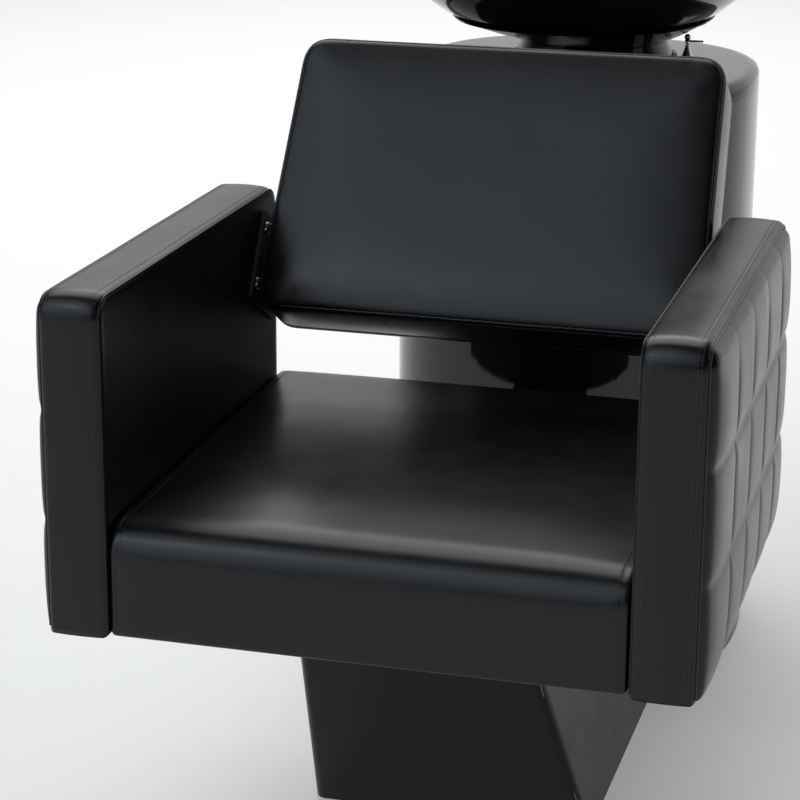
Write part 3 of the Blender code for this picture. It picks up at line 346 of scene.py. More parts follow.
def leather_material():
    """Smooth black leatherette: fine pebble grain, soft mottling and a satin sheen."""
    material = new_material("leatherette", (0.009, 0.009, 0.010), 0.30)
    kit = Nodes(material)
    soft = kit.noise(6.0, 4.0)
    cloud = kit.noise(23.0, 4.0)
    grain = kit.cells(820.0, "SMOOTH_F1")
    pores = kit.noise(1900.0, 2.0)
    waves = kit.noise(17.0, 1.0)
    kit.colour(cloud, (0.0034, 0.0034, 0.0042), (0.0076, 0.0074, 0.0080))
    kit.roughness(kit.mix(soft, cloud, 0.6), 0.245, 0.345)
    kit.shader.inputs["Specular IOR Level"].default_value = 0.38
    kit.bump([(waves, 0.10, 0.0016), (grain, 0.20, 0.00020), (pores, 0.16, 0.00007)])
    return material


def thread_material():
    material = new_material("black_thread", (0.012, 0.012, 0.013), 0.60)
    kit = Nodes(material)
    twist = kit.wave(900.0, 1.0, "DIAGONAL")
    kit.colour(kit.noise(400.0), (0.022, 0.022, 0.025), (0.060, 0.060, 0.066))
    kit.bump([(twist, 0.5, 0.00012)])
    return material


def gloss_material(name, colour, low, high):
    """Moulded or lacquered gloss: faint orange peel, polish marks and dust in the roughness."""
    material = new_material(name, colour, low)
    kit = Nodes(material)
    peel = kit.noise(240.0, 1.0)
    waves = kit.noise(9.0, 2.0)
    smear = kit.noise(16.0, 5.0, kit.stretched((1.0, 1.0, 0.35)), 0.8)
    kit.colour(waves, *[[c * share for c in colour] for share in (0.75, 1.5)])
    kit.roughness(smear, low, high, 0.35, 0.75)
    kit.bump([(waves, 0.05, 0.0015), (peel, 0.03, 0.00015)])
    return material


def satin_material():
    """The plinth's coating: fine texture with slightly polished corners."""
    material = new_material("satin_coating", (0.016, 0.0155, 0.016), 0.36)
    kit = Nodes(material)
    fine = kit.noise(1300.0, 2.0)
    broad = kit.noise(6.0, 3.0)
    kit.colour(broad, (0.0080, 0.0076, 0.0084), (0.0140, 0.0128, 0.0128))
    rubbed = kit.math("SUBTRACT", broad, kit.math("MULTIPLY", edge_wear(kit), 0.25))
    kit.roughness(rubbed, 0.30, 0.44)
    kit.shader.inputs["Specular IOR Level"].default_value = 0.11
    kit.bump([(fine, 0.12, 0.00012)])
    return material


def chrome_material():
    material = new_material("chrome_plate", (0.80, 0.81, 0.83), 0.07, 1.0)
    kit = Nodes(material)
    smudge = kit.noise(45.0, 4.0, None, 0.7)
    scratch = kit.noise(900.0, 2.0, kit.stretched((1.0, 0.06, 0.06)))
    kit.colour(smudge, (0.74, 0.75, 0.77), (0.86, 0.87, 0.88))
    kit.roughness(smudge, 0.05, 0.15)
    kit.bump([(scratch, 0.03, 0.00004)])
    return material


def paint_material():
    """Painted steel with a light texture, rubbed bare on its sharpest corners."""
    material = new_material("black_paint", (0.018, 0.018, 0.020), 0.45)
    kit = Nodes(material)
    orange = kit.noise(700.0, 2.0)
    broad = kit.noise(14.0, 4.0)
    kit.colour(kit.mix(broad, edge_wear(kit), 0.5), (0.012, 0.012, 0.013), (0.045, 0.044, 0.043))
    kit.roughness(broad, 0.38, 0.56)
    kit.bump([(orange, 0.16, 0.00018)])
    return material


def zinc_material():
    material = new_material("zinc_plate", (0.60, 0.61, 0.60), 0.32, 1.0)
    kit = Nodes(material)
    spangle = kit.cells(420.0, "F1", "Color")
    bw = kit.add("RGBToBW")
    kit.link(spangle, bw.inputs[0])
    kit.colour(bw.outputs[0], (0.46, 0.47, 0.45), (0.72, 0.72, 0.68))
    kit.roughness(kit.noise(90.0, 3.0), 0.24, 0.44)
    kit.bump([(kit.noise(800.0, 2.0), 0.10, 0.0001)])
    return material


def plywood_material():
    """Birch plywood: long grain on the faces and thin plies on the edges."""
    material = new_material("birch_plywood", (0.50, 0.36, 0.22), 0.62)
    kit = Nodes(material)
    grain = kit.noise(26.0, 6.0, kit.stretched((1.0, 9.0, 1.0)), 1.6)
    fibre = kit.noise(420.0, 2.0, kit.stretched((1.0, 0.08, 1.0)))
    plies = kit.wave(330.0, 0.3, "Z", None, 1.0)
    tone = kit.mix(grain, plies, 0.75)
    kit.link(kit.ramp(tone, [(0.2, (0.30, 0.19, 0.10)), (0.5, (0.50, 0.36, 0.21)),
                             (0.85, (0.62, 0.47, 0.30))]), kit.shader.inputs["Base Color"])
    kit.roughness(grain, 0.52, 0.75)
    kit.bump([(grain, 0.12, 0.0004), (fibre, 0.20, 0.00012)])
    return material


def board_material():
    material = new_material("black_laminate", (0.016, 0.016, 0.017), 0.48)
    kit = Nodes(material)
    pebble = kit.cells(420.0, "SMOOTH_F1")
    broad = kit.noise(12.0, 3.0)
    kit.colour(broad, (0.011, 0.011, 0.012), (0.024, 0.024, 0.025))
    kit.roughness(broad, 0.40, 0.56)
    kit.bump([(pebble, 0.18, 0.0002)])
    return material


def mottled_material(name, colours, roughness, clouds, dust, grain, metallic=0.0):
    """Clouds between two colours, dust in the roughness and a fine grain.

    clouds is (scale, detail), dust a scale, and grain (scale, strength, distance in metres).
    """
    middle = [sum(pair) / 2 for pair in zip(*colours)]
    material = new_material(name, middle, roughness[0], metallic)
    kit = Nodes(material)
    kit.colour(kit.noise(*clouds), *colours)
    kit.roughness(kit.noise(dust, 3.0), *roughness)
    kit.bump([(kit.noise(grain[0], 2.0), *grain[1:])])
    return material


def brass_material():
    return mottled_material("nickel_plate", ((0.55, 0.52, 0.45), (0.74, 0.71, 0.65)),
                            (0.16, 0.34), (60.0, 3.0), 130.0, (500.0, 0.08, 0.0001), 1.0)


def rubber_material():
    return mottled_material("soft_rubber", ((0.010, 0.010, 0.011), (0.026, 0.026, 0.027)),
                            (0.48, 0.68), (20.0, 4.0), 60.0, (1500.0, 0.18, 0.00012))


def plastic_material(name, colour, low=0.36, high=0.52):
    shades = [[c * share for c in colour] for share in (0.82, 1.15)]
    return mottled_material(name, shades, (low, high), (18.0, 4.0), 50.0,
                            (1100.0, 0.10, 0.0001))


def braid_material():
    """Woven steel wire over a hose: two crossing sets of strands."""
    material = new_material("woven_braid", (0.55, 0.56, 0.57), 0.34, 1.0)
    kit = Nodes(material)
    one = kit.wave(260.0, 0.0, "DIAGONAL")
    other = kit.wave(260.0, 0.0, "DIAGONAL", kit.stretched((-1.0, 1.0, 1.0)))
    weave = kit.math("MAXIMUM", one, other)
    kit.colour(weave, (0.16, 0.16, 0.17), (0.74, 0.75, 0.76))
    kit.roughness(weave, 0.30, 0.50)
    kit.bump([(weave, 0.7, 0.0005)])
    return material


def make_materials():
    return {
        "leather": leather_material(),
        "thread": thread_material(),
        "gloss": gloss_material("gloss_black_lacquer", (0.0045, 0.0045, 0.0050), 0.030, 0.10),
        "ceramic": gloss_material("black_glaze", (0.0040, 0.0040, 0.0045), 0.020, 0.07),
        "satin": satin_material(),
        "chrome": chrome_material(),
        "paint": paint_material(),
        "zinc": zinc_material(),
        "brass": brass_material(),
        "plywood": plywood_material(),
        "board": board_material(),
        "rubber": rubber_material(),
        "grey": plastic_material("grey_pipe", (0.30, 0.31, 0.32)),
        "hose": plastic_material("light_grey_bellows", (0.47, 0.48, 0.49)),
        "braid": braid_material(),
        "red": plastic_material("red_cap", (0.50, 0.020, 0.018), 0.28, 0.42),
        "blue": plastic_material("blue_cap", (0.018, 0.070, 0.45), 0.28, 0.42),
    }


SLOT_LOOKS = {
    "black_leatherette": "leather", "gloss_black": "gloss", "satin_black": "satin",
    "black_ceramic": "ceramic", "chrome": "chrome", "black_painted_steel": "paint",
    "zinc_plated_steel": "zinc", "nickel_plated_brass": "brass", "plywood": "plywood",
    "black_laminated_board": "board", "black_rubber": "rubber", "grey_plastic": "grey",
    "light_grey_hose": "hose", "steel_braid": "braid", "red_plastic": "red",
    "blue_plastic": "blue",
}


# ---------------------------------------------------------------- finish of the CAD nodes

def smoothing_group():
    """Geometry nodes that weld a CAD node's faces and shade them smooth up to an angle."""
    group = bpy.data.node_groups.new("smooth_by_angle", "GeometryNodeTree")
    group.interface.new_socket("Geometry", in_out="INPUT", socket_type="NodeSocketGeometry")
    angle = group.interface.new_socket("Angle", in_out="INPUT", socket_type="NodeSocketFloat")
    angle.default_value = math.radians(38.0)
    group.interface.new_socket("Geometry", in_out="OUTPUT", socket_type="NodeSocketGeometry")
    nodes, links = group.nodes, group.links
    start = nodes.new("NodeGroupInput")
    end = nodes.new("NodeGroupOutput")
    weld = nodes.new("GeometryNodeMergeByDistance")
    weld.inputs["Distance"].default_value = 0.00001
    bare = nodes.new("GeometryNodeRemoveAttribute")
    bare.inputs["Name"].default_value = "custom_normal"
    faces = nodes.new("GeometryNodeSetShadeSmooth")
    edges = nodes.new("GeometryNodeSetShadeSmooth")
    edges.domain = "EDGE"
    edges.inputs["Shade Smooth"].default_value = False
    bend = nodes.new("GeometryNodeInputMeshEdgeAngle")
    sharp = nodes.new("FunctionNodeCompare")
    sharp.operation = "GREATER_THAN"
    chain = (start, weld, bare, faces, edges, end)
    for source, target in zip(chain, chain[1:]):
        links.new(source.outputs["Geometry"], target.inputs["Geometry"])
    links.new(bend.outputs["Unsigned Angle"], sharp.inputs[0])
    links.new(start.outputs["Angle"], sharp.inputs[1])
    links.new(sharp.outputs["Result"], edges.inputs["Selection"])
    return group


def finish_nodes():
    """Every CAD node gets its slot's material, smooth shading and weighted normals."""
    group = smoothing_group()
    slots = {row["node"]: row["material_slot"] for row in frame["record"]["subparts"]}
    for name, obj in NODES.items():
        look = LOOKS[SLOT_LOOKS[slots[name]]]
        obj.data.materials.clear()
        obj.data.materials.append(look)
        shading = obj.modifiers.new("smooth_by_angle", "NODES")
        shading.node_group = group
        weighted = obj.modifiers.new("weighted_normals", "WEIGHTED_NORMAL")
        weighted.keep_sharp = True


# ---------------------------------------------------------------- mesh helpers

def edit_mesh(mesh, edit):
    """Runs an edit on a mesh's bmesh."""
    bm = bmesh.new()
    bm.from_mesh(mesh)
    edit(bm)
    bm.to_mesh(mesh)
    bm.free()


def turn_outward(mesh):
    """Makes a mesh's normals agree and point out of it."""
    edit_mesh(mesh, lambda bm: bmesh.ops.recalc_face_normals(bm, faces=bm.faces))
    mesh.shade_smooth()


def new_piece(name, vertices, faces, look, body="base"):
    mesh = bpy.data.meshes.new(name)
    mesh.from_pydata([tuple(v) for v in vertices], [], faces)
    turn_outward(mesh)
    mesh.materials.append(LOOKS[look])
    obj = bpy.data.objects.new(name, mesh)
    SCENE.collection.objects.link(obj)
    if body:
        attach(obj, body)
    return obj


def read_rows(items, attribute):
    """One row of three numbers for each item of a mesh collection."""
    flat = np.empty(len(items) * 3, np.float32)
    items.foreach_get(attribute, flat)
    return flat.reshape(-1, 3).astype(float)


def coords(obj):
    return read_rows(obj.data.vertices, "co")


def set_coords(obj, points):
    obj.data.vertices.foreach_set("co", np.asarray(points, np.float32).ravel())
    obj.data.update()


def sweep(paths, radius, sides, closed=False):
    """Vertices and faces of round tubes along several paths of points."""
    vertices, faces = [], []
    for path in paths:
        points = [Vector(p) for p in path]
        count = len(points)
        start = len(vertices)
        normal = None
        for i, point in enumerate(points):
            ahead = points[(i + 1) % count] if closed or i < count - 1 else points[i]
            back = points[i - 1] if closed or i > 0 else points[i]
            along = (ahead - back).normalized()
            if normal is None:
                normal = along.orthogonal().normalized()
            normal = (normal - along * normal.dot(along)).normalized()
            across = along.cross(normal)
            reach = radius[i] if hasattr(radius, "__len__") else radius
            for k in range(sides):
                turn = 2 * math.pi * k / sides
                vertices.append(point + (normal * math.cos(turn) + across * math.sin(turn)) * reach)
        rings = count if closed else count - 1
        for i in range(rings):
            for k in range(sides):
                a = start + i * sides + k
                b = start + i * sides + (k + 1) % sides
                c = start + ((i + 1) % count) * sides + (k + 1) % sides
                d = start + ((i + 1) % count) * sides + k
                faces.append((a, b, c, d))
        if not closed:
            faces.append(tuple(start + k for k in range(sides)))
            faces.append(tuple(start + (count - 1) * sides + k for k in range(sides)))
    return vertices, faces


def resample(points, pitch, closed=False):
    """Evenly spaced points along a poly line."""
    line = np.asarray([tuple(p) for p in points], float)
    if closed:
        line = np.vstack([line, line[:1]])
    steps = np.linalg.norm(np.diff(line, axis=0), axis=1)
    place = np.concatenate([[0.0], np.cumsum(steps)])
    count = max(2, int(round(place[-1] / pitch)))
    wanted = np.linspace(0.0, place[-1], count, endpoint=not closed)
    return np.stack([np.interp(wanted, place, line[:, k]) for k in range(3)], axis=1)


def stitches(name, rows):
    """Sewn stitches along rows placed by settle(); each dips into the leather at both ends."""
    dip = np.array([STITCH_DIP, 0.0, 0.0, STITCH_DIP])[:, None]
    paths = []
    for line, outward in rows:
        points = resample(line, STITCH_PITCH / 4)
        for start in range(0, len(points) - 3, 4):
            nearest = min(len(outward) - 1, int(start / len(points) * len(outward)))
            paths.append(points[start:start + 4] - dip * outward[nearest])
    vertices, faces = sweep(paths, STITCH_RADIUS, 5)
    new_piece(name, vertices, faces, "thread")


# ---------------------------------------------------------------- padded shapes

def rounded_square(a, b, half_u, half_v, corner):
    """Maps the square lattice [-1, 1] x [-1, 1] on a rectangle with four corner radii."""
    u, v = a * half_u, b * half_v
    index = (u > 0).astype(int) + 2 * (v > 0).astype(int)
    r = np.asarray(corner)[index]
    qu = np.clip(u, -(half_u - r), half_u - r)
    qv = np.clip(v, -(half_v - r), half_v - r)
    du, dv = u - qu, v - qv
    length = np.hypot(du, dv)
    pull = np.where(length > 1e-9, np.maximum(abs(du), abs(dv)) / np.maximum(length, 1e-9), 1.0)
    return qu + du * pull, qv + dv * pull


def pad_shape(half_u, half_v, depth, corner, edge, step=FINE, arc=4):
    """A pad in its own frame (u, v, t): a front at t = 0, rounded edges, sides and a back.

    corner holds the radii at (-u -v), (+u -v), (-u +v) and (+u +v); edge holds the rounding of
    the front's and the back's edges, each in arc steps.
    """
    nu = max(4, round(2 * half_u / step))
    nv = max(4, round(2 * half_v / step))
    a, b = np.meshgrid(np.linspace(-1, 1, nu + 1), np.linspace(-1, 1, nv + 1), indexing="ij")

    def layer(inset):
        radii = [max(r - inset, 0.0004) for r in corner]
        return rounded_square(a.ravel(), b.ravel(), half_u - inset, half_v - inset, radii)

    def lattice(i, j):
        return i * (nv + 1) + j

    def wall(near, far):
        """Quads between two rings of points."""
        count = len(near)
        return [(near[k], near[(k + 1) % count], far[(k + 1) % count], far[k])
                for k in range(count)]

    loop = [lattice(i, 0) for i in range(nu)] + [lattice(nu, j) for j in range(nv)]
    loop += [lattice(i, nv) for i in range(nu, 0, -1)] + [lattice(0, j) for j in range(nv, 0, -1)]
    loop = np.array(loop)
    u, v = layer(edge[0])
    points = [np.stack([u, v, np.zeros_like(u)], axis=1)]
    quads = [(lattice(i, j), lattice(i + 1, j), lattice(i + 1, j + 1), lattice(i, j + 1))
             for i in range(nu) for j in range(nv)]
    faces = list(quads)
    far = depth - edge[1]
    turns = [k / arc * math.pi / 2 for k in range(1, arc + 1)]
    stations = [(edge[0] * (1 - math.sin(turn)), edge[0] * (1 - math.cos(turn)))
                for turn in turns]
    side_steps = max(1, round((far - edge[0]) / step))
    stations += [(0.0, edge[0] + (far - edge[0]) * k / side_steps)
                 for k in range(1, side_steps + 1)]
    stations += [(edge[1] * (1 - math.cos(turn)), far + edge[1] * math.sin(turn))
                 for turn in turns[:-1]]
    previous = loop
    total = len(u)
    for inset, t in stations:
        u, v = layer(inset)
        points.append(np.stack([u[loop], v[loop], np.full(len(loop), t)], axis=1))
        ring = total + np.arange(len(loop))
        faces += wall(previous, ring)
        previous = ring
        total += len(loop)
    u, v = layer(edge[1])
    points.append(np.stack([u, v, np.full(len(u), depth)], axis=1))
    faces += [tuple(total + q for q in quad) for quad in quads]
    faces += wall(previous, total + loop)
    faces = [tuple(int(i) for i in face) for face in faces]
    return np.vstack(points), faces


def inflate(obj, pinned, cap):
    """Swells a closed mesh by a short cloth simulation and keeps each point near its start."""
    rest = coords(obj)
    group = obj.vertex_groups.new(name="pinned")
    held = np.nonzero(pinned > 0.0)[0]
    for weight in np.unique(pinned[held]):
        group.add([int(i) for i in held if pinned[i] == weight], float(weight), "REPLACE")
    cloth = obj.modifiers.new("cloth", "CLOTH")
    settings = cloth.settings
    settings.quality = 5
    settings.mass = 0.3
    settings.tension_stiffness = SWELL_STIFFNESS
    settings.compression_stiffness = SWELL_STIFFNESS
    settings.shear_stiffness = SWELL_STIFFNESS * 0.6
    settings.bending_stiffness = 1.5
    settings.use_pressure = True
    settings.uniform_pressure_force = SWELL_PRESSURE
    settings.effector_weights.gravity = 0.0
    settings.vertex_group_mass = "pinned"
    cloth.collision_settings.use_collision = False
    cloth.point_cache.frame_start = 1
    cloth.point_cache.frame_end = SWELL_FRAMES
    for number in range(1, SWELL_FRAMES + 1):
        SCENE.frame_set(number)
    swollen = coords(obj.evaluated_get(bpy.context.evaluated_depsgraph_get()))
    obj.modifiers.remove(cloth)
    obj.vertex_groups.remove(group)
    SCENE.frame_set(1)
    move = swollen - rest
    size = np.linalg.norm(move, axis=1, keepdims=True)
    limit = np.maximum(np.asarray(cap, float).reshape(-1, 1), 1e-6)
    points = rest + move * limit * np.tanh(size / limit) / np.maximum(size, 1e-9)
    set_coords(obj, points)
    return points


def relax(obj, moving, rounds):
    """Averages the marked points with their neighbours, each round halfway."""
    points = coords(obj)
    edges = np.empty(len(obj.data.edges) * 2, np.int32)
    obj.data.edges.foreach_get("vertices", edges)
    edges = edges.reshape(-1, 2)
    degree = np.bincount(edges.ravel(), minlength=len(points))[:, None]
    share = 0.5 * np.asarray(moving, float)[:, None]
    for _ in range(rounds):
        total = np.zeros_like(points)
        np.add.at(total, edges[:, 0], points[edges[:, 1]])
        np.add.at(total, edges[:, 1], points[edges[:, 0]])
        points += share * (total / np.maximum(degree, 1) - points)
    set_coords(obj, points)
    return points


def bake(obj):
    """Replaces the mesh by its evaluated form and drops the modifiers."""
    graph = bpy.context.evaluated_depsgraph_get()
    mesh = bpy.data.meshes.new_from_object(obj.evaluated_get(graph))
    obj.modifiers.clear()
    obj.data = mesh
    obj.data.shade_smooth()


def subdivide(obj):
    """Bakes one subdivision into the mesh."""
    modifier = obj.modifiers.new("subdivision", "SUBSURF")
    modifier.levels = modifier.render_levels = 1
    bake(obj)


def surface_of(obj):
    return BVHTree.FromPolygons([tuple(v.co) for v in obj.data.vertices],
                                [tuple(p.vertices) for p in obj.data.polygons])


def settle(tree, points, lift=0.0):
    """Moves points on to a surface, and a little above it. Also returns the outward directions."""
    placed, outward = [], []
    for point in points:
        spot, normal, _, _ = tree.find_nearest(Vector(point))
        placed.append(np.array(spot + normal * lift))
        outward.append(np.array(normal))
    return np.array(placed), np.array(outward)


def distance_to(points, line):
    """Distance from each point to a poly line given by closely spaced points."""
    best = np.full(len(points), 1e9)
    for spot in np.asarray(line, float):
        best = np.minimum(best, np.einsum("ij,ij->i", points - spot, points - spot))
    return np.sqrt(best)


def smooth_step(value, start, end):
    t = np.clip((value - start) / (end - start), 0.0, 1.0)
    return t * t * (3 - 2 * t)


# ---------------------------------------------------------------- seat cushion

def make_seat():
    """One taut cushion: the cover wraps from the top over the front in a single roll."""
    low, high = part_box("seat_cushion")
    board_low, board_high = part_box("seat_board")
    bottom = low.z + 0.0003
    front, rear = low.y - 0.001, high.y
    middle = (front + rear) / 2
    half_u = (rear - front) / 2
    top_rear = high.z + SEAT_REAR_RISE
    half_v = (top_rear - bottom) / 2
    half_x = high.x + SEAT_OVERHANG
    points, faces = pad_shape(half_u, half_v, 2 * half_x, SEAT_CORNERS, (SEAT_EDGE, SEAT_EDGE))
    y = middle + points[:, 0]
    share = (points[:, 1] + half_v) / (2 * half_v)
    rise = top_rear - SEAT_TOP_FRONT
    top = SEAT_TOP_FRONT + rise * (points[:, 0] + half_u) / (2 * half_u) - 0.003
    world = np.stack([points[:, 2] - half_x, y, bottom + share * (top - bottom)], axis=1)
    seat = new_piece("seat_cushion_cover", world, faces, "leather", None)
    pins = np.zeros(len(world))
    pins[world[:, 2] < bottom + 0.010] = 1.0
    sides = np.abs(world[:, 0]) > half_x - 0.0085
    pins[sides & (pins == 0)] = 0.7
    reach = (smooth_step(world[:, 1], front + 0.010, front + 0.150)
             * smooth_step(half_x - np.abs(world[:, 0]), 0.004, 0.070))
    points = inflate(seat, pins, SEAT_SWELL[0] + SEAT_SWELL[1] * reach)
    crown = 1 - (points[:, 0] / half_x) ** 4
    depth = 1 - ((points[:, 1] - middle) / half_u) ** 6
    points[:, 2] += SEAT_CROWN * crown * depth * smooth_step(points[:, 2], *SEAT_CROWN_HEIGHTS)
    points[:, 0] = np.clip(points[:, 0], -half_x, half_x)
    points[:, 1] = np.clip(points[:, 1], front - 0.003, rear + 0.001)
    set_coords(seat, points)
    relax(seat, points[:, 2] > bottom + 0.012, 5)
    points = coords(seat)
    under = ((points[:, 2] < bottom + 0.002) & (np.abs(points[:, 0]) < board_high.x + 0.005)
             & (points[:, 1] > board_low.y - 0.005) & (points[:, 1] < board_high.y + 0.005))
    points[under, 2] = board_high.z + 0.0006
    set_coords(seat, points)
    subdivide(seat)
    seam_lines = [side_seam(seat, side, low, high, bottom) for side in (-1, 1)]
    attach(seat, "base")
    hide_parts("seat_cushion")
    tree = surface_of(seat)
    stitches("seat_stitching", [settle(tree, line - np.array([side * 0.0034, 0.0, 0.0]), 0.0001)
                                for side, line in zip((-1, 1), seam_lines)])


def side_seam(seat, side, low, high, bottom):
    """Presses the seam between the wrap-round panel and a side panel, and returns its line."""
    x = side * (high.x - SEAT_SEAM_INSET)
    length = high.y - low.y - 0.026
    line = [(x, low.y + 0.001, bottom + 0.004 + share * 0.085)
            for share in np.linspace(0.0, 1.0, 60)]
    line += [(x, low.y + 0.012 + share * length, high.z + 0.002)
             for share in np.linspace(0.0, 1.0, 200)]
    spots, _ = settle(surface_of(seat), line)
    spots = resample(spots, 0.003)
    press(seat, spots, 0.0011, 0.0022)
    return spots


def press(obj, line, depth, width):
    """Pushes the surface in along a line, as a sewn seam does."""
    points = coords(obj)
    near = distance_to(points, line)
    push = depth * np.exp(-(near / width) ** 2)
    set_coords(obj, points - read_rows(obj.data.vertex_normals, "vector") * push[:, None])


# ---------------------------------------------------------------- backrest cushion

def back_matrix():
    c, s = math.cos(BACK_TILT), math.sin(BACK_TILT)
    return Matrix(((1.0, 0.0, 0.0, BACK_FOOT.x), (0.0, s, c, BACK_FOOT.y),
                   (0.0, c, -s, BACK_FOOT.z), (0.0, 0.0, 0.0, 1.0)))


def make_backrest():
    """A crowned pad in its own frame (x, height, depth), with piping round both of its seams."""
    half_u, depth = BACK_HALF_U, BACK_DEPTH
    half_v = (BACK_HIGH - BACK_LOW) / 2
    points, faces = pad_shape(half_u - 0.001, half_v - 0.001, depth, (BACK_CORNER,) * 4,
                              BACK_EDGES)
    points[:, 1] += half_v
    pad = new_piece("back_cushion_cover", points, faces, "leather", None)
    pins = np.where(points[:, 2] > depth - 0.006, 1.0, 0.0)
    seam = np.abs(points[:, 2] - 0.0045) < 0.0035
    edge = ((np.abs(points[:, 0]) > half_u - 0.012)
            | (np.abs(points[:, 1] - half_v) > half_v - 0.012))
    pins[seam & edge] = 0.85
    cap = np.where(points[:, 2] < 0.003, 0.012, 0.0045)
    points = inflate(pad, pins, cap)
    set_coords(pad, points)
    relax(pad, points[:, 2] < depth - 0.008, 2)
    points = coords(pad)
    board_u = PAD_HALF_U - BOARD_INSET + BOARD_MARGIN
    board_v = PAD_HALF_V - BOARD_INSET + BOARD_MARGIN
    inside = ((points[:, 2] > depth - 0.002) & (np.abs(points[:, 0]) < board_u)
              & (np.abs(points[:, 1] + BACK_LOW - PAD_HALF_V) < board_v))
    points[inside, 2] = BOARD_FRONT + BACK_LEAD
    set_coords(pad, points)
    subdivide(pad)
    front_line = outline(half_u - 0.0035, half_v - 0.0035, 0.0250, half_v, 0.0055)
    rear_line = outline(half_u - 0.0005, half_v - 0.0005, 0.0275, half_v, depth - 0.012)
    tree = surface_of(pad)
    seams = []
    for line in (front_line, rear_line):
        spots, _ = settle(tree, line)
        seams.append(spots)
        press(pad, spots, 0.0016, 0.0028)
    matrix = back_matrix() @ Matrix.Translation((0.0, BACK_LOW, -BACK_LEAD))
    narrowing = BACK_FLARE[0] - BACK_FLARE[1]

    def flared(spots):
        """The pad's points in the row frame, a little wider at the bottom than at the top."""
        spots = np.array(spots)
        spots[:, 0] *= BACK_FLARE[0] - narrowing * spots[:, 1] / (2 * half_v)
        rows = np.array(matrix)
        return spots @ rows[:3, :3].T + rows[:3, 3]

    set_coords(pad, flared(coords(pad)))
    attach(pad, "base")
    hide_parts("back_cushion")
    tree = surface_of(pad)
    vertices, faces = [], []
    for spots in seams:
        line, _ = settle(tree, flared(spots), 0.0008)
        more, quads = sweep([line], PIPING_RADIUS, 10, closed=True)
        faces += [tuple(i + len(vertices) for i in quad) for quad in quads]
        vertices += more
    new_piece("back_piping", vertices, faces, "leather")
    stitches("back_stitching",
             [settle(tree, flared(spots + np.array([0.0, 0.0, shift])), 0.00005)
              for spots, shift in zip(seams, (0.0052, -0.0052))])


def outline(half_u, half_v, corner, centre_v, depth):
    """Points round a rounded rectangle in the backrest's own frame."""
    spots = []
    for cu, cv, start in ((1, -1, -0.5), (1, 1, 0.0), (-1, 1, 0.5), (-1, -1, 1.0)):
        for k in range(13):
            turn = math.pi * (start + 0.5 * k / 12)
            spots.append((cu * (half_u - corner) + corner * math.cos(turn),
                          centre_v + cv * (half_v - corner) + corner * math.sin(turn), depth))
    return resample(spots, 0.004, closed=True)


# ---------------------------------------------------------------- arms

def arm_frame(side):
    """Maps (y from the front, z from the bottom, x from the inner face) to the row frame.

    Also returns the arm's length and height.
    """
    low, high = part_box("arm_cover_left" if side < 0 else "arm_cover_right")
    inner = min(abs(low.x), abs(high.x))

    def place(points):
        return np.stack([side * (inner + points[:, 2]), low.y + points[:, 0],
                         low.z + points[:, 1]], axis=1)

    return place, high.y - low.y, high.z - low.z


def make_arm_cover(side, name):
    """The padded shell of an arm: its plain inner panel and the band over front, top and rear."""
    place, length, height = arm_frame(side)
    half_u, half_v = length / 2, height / 2
    points, faces = pad_shape(half_u, half_v, ARM_BAND, (0.0006, 0.0006, ARM_CORNER, ARM_CORNER),
                              (0.0070, 0.0060), arc=5)
    flat_back = points[:, 2] > ARM_BAND - 0.0001
    points[:, 0] += half_u
    points[:, 1] += half_v
    share = np.clip(points[:, 2] / ARM_BAND, 0, 1)
    puff = share * (1 - share) * 4
    up = smooth_step(points[:, 1], height - 0.030, height - 0.002)
    front = smooth_step(0.030 - points[:, 0], 0.0, 0.028)
    rear = smooth_step(points[:, 0] - (length - 0.030), 0.0, 0.028)
    on_band = smooth_step(points[:, 2], 0.004, 0.009)
    slack = 0.0010 * np.sin(points[:, 0] * 23.0 + 1.0) * np.sin(points[:, 0] * 9.0)
    points[:, 1] += (0.0026 + slack) * puff * up * on_band
    points[:, 0] += 0.0020 * puff * (rear - front) * on_band
    panel = points[:, 2] < 0.0005
    centre = ((1 - ((points[:, 0] - half_u) / half_u) ** 6)
              * (1 - ((points[:, 1] - half_v) / half_v) ** 6))
    points[:, 2] -= np.where(panel, 0.0005 * centre, 0.0)
    bottom = points[:, 1] < 0.002
    keep = [f for f in faces if not all(bottom[i] for i in f) and not all(flat_back[i] for i in f)]
    used = sorted({i for f in keep for i in f})
    index = {old: new for new, old in enumerate(used)}
    keep = [tuple(index[i] for i in f) for f in keep]
    cover = new_piece("arm_cover_shell_" + name, place(points[used]), keep, "leather",
                      None)
    orient_outward(cover, side)
    thick = cover.modifiers.new("padding", "SOLIDIFY")
    thick.thickness = ARM_PADDING
    thick.offset = -1.0
    thick.use_even_offset = False
    bake(cover)
    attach(cover, "base")
    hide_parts("arm_cover_" + name)


def orient_outward(obj, side):
    """An open sheet's normals are turned so that the inner panel faces the seat."""
    total = sum(p.normal.x * p.area for p in obj.data.polygons if abs(p.normal.x) > 0.9)
    if total * -side < 0:
        obj.data.flip_normals()


def quilt_shape():
    """The outer pad in arm coordinates: (y from the middle, z from the middle, x outwards)."""
    low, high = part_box("arm_quilt_right")
    length, height = high.y - low.y + 0.002, high.z - low.z + 0.002
    depth = high.x - low.x + 0.0005
    points, faces = pad_shape(length / 2, height / 2, depth, (0.003, 0.003, 0.018, 0.018),
                              (0.0100, 0.001), QUILT_STEP, arc=5)
    points[:, 2] = depth - points[:, 2]
    return points, faces, length, height, depth


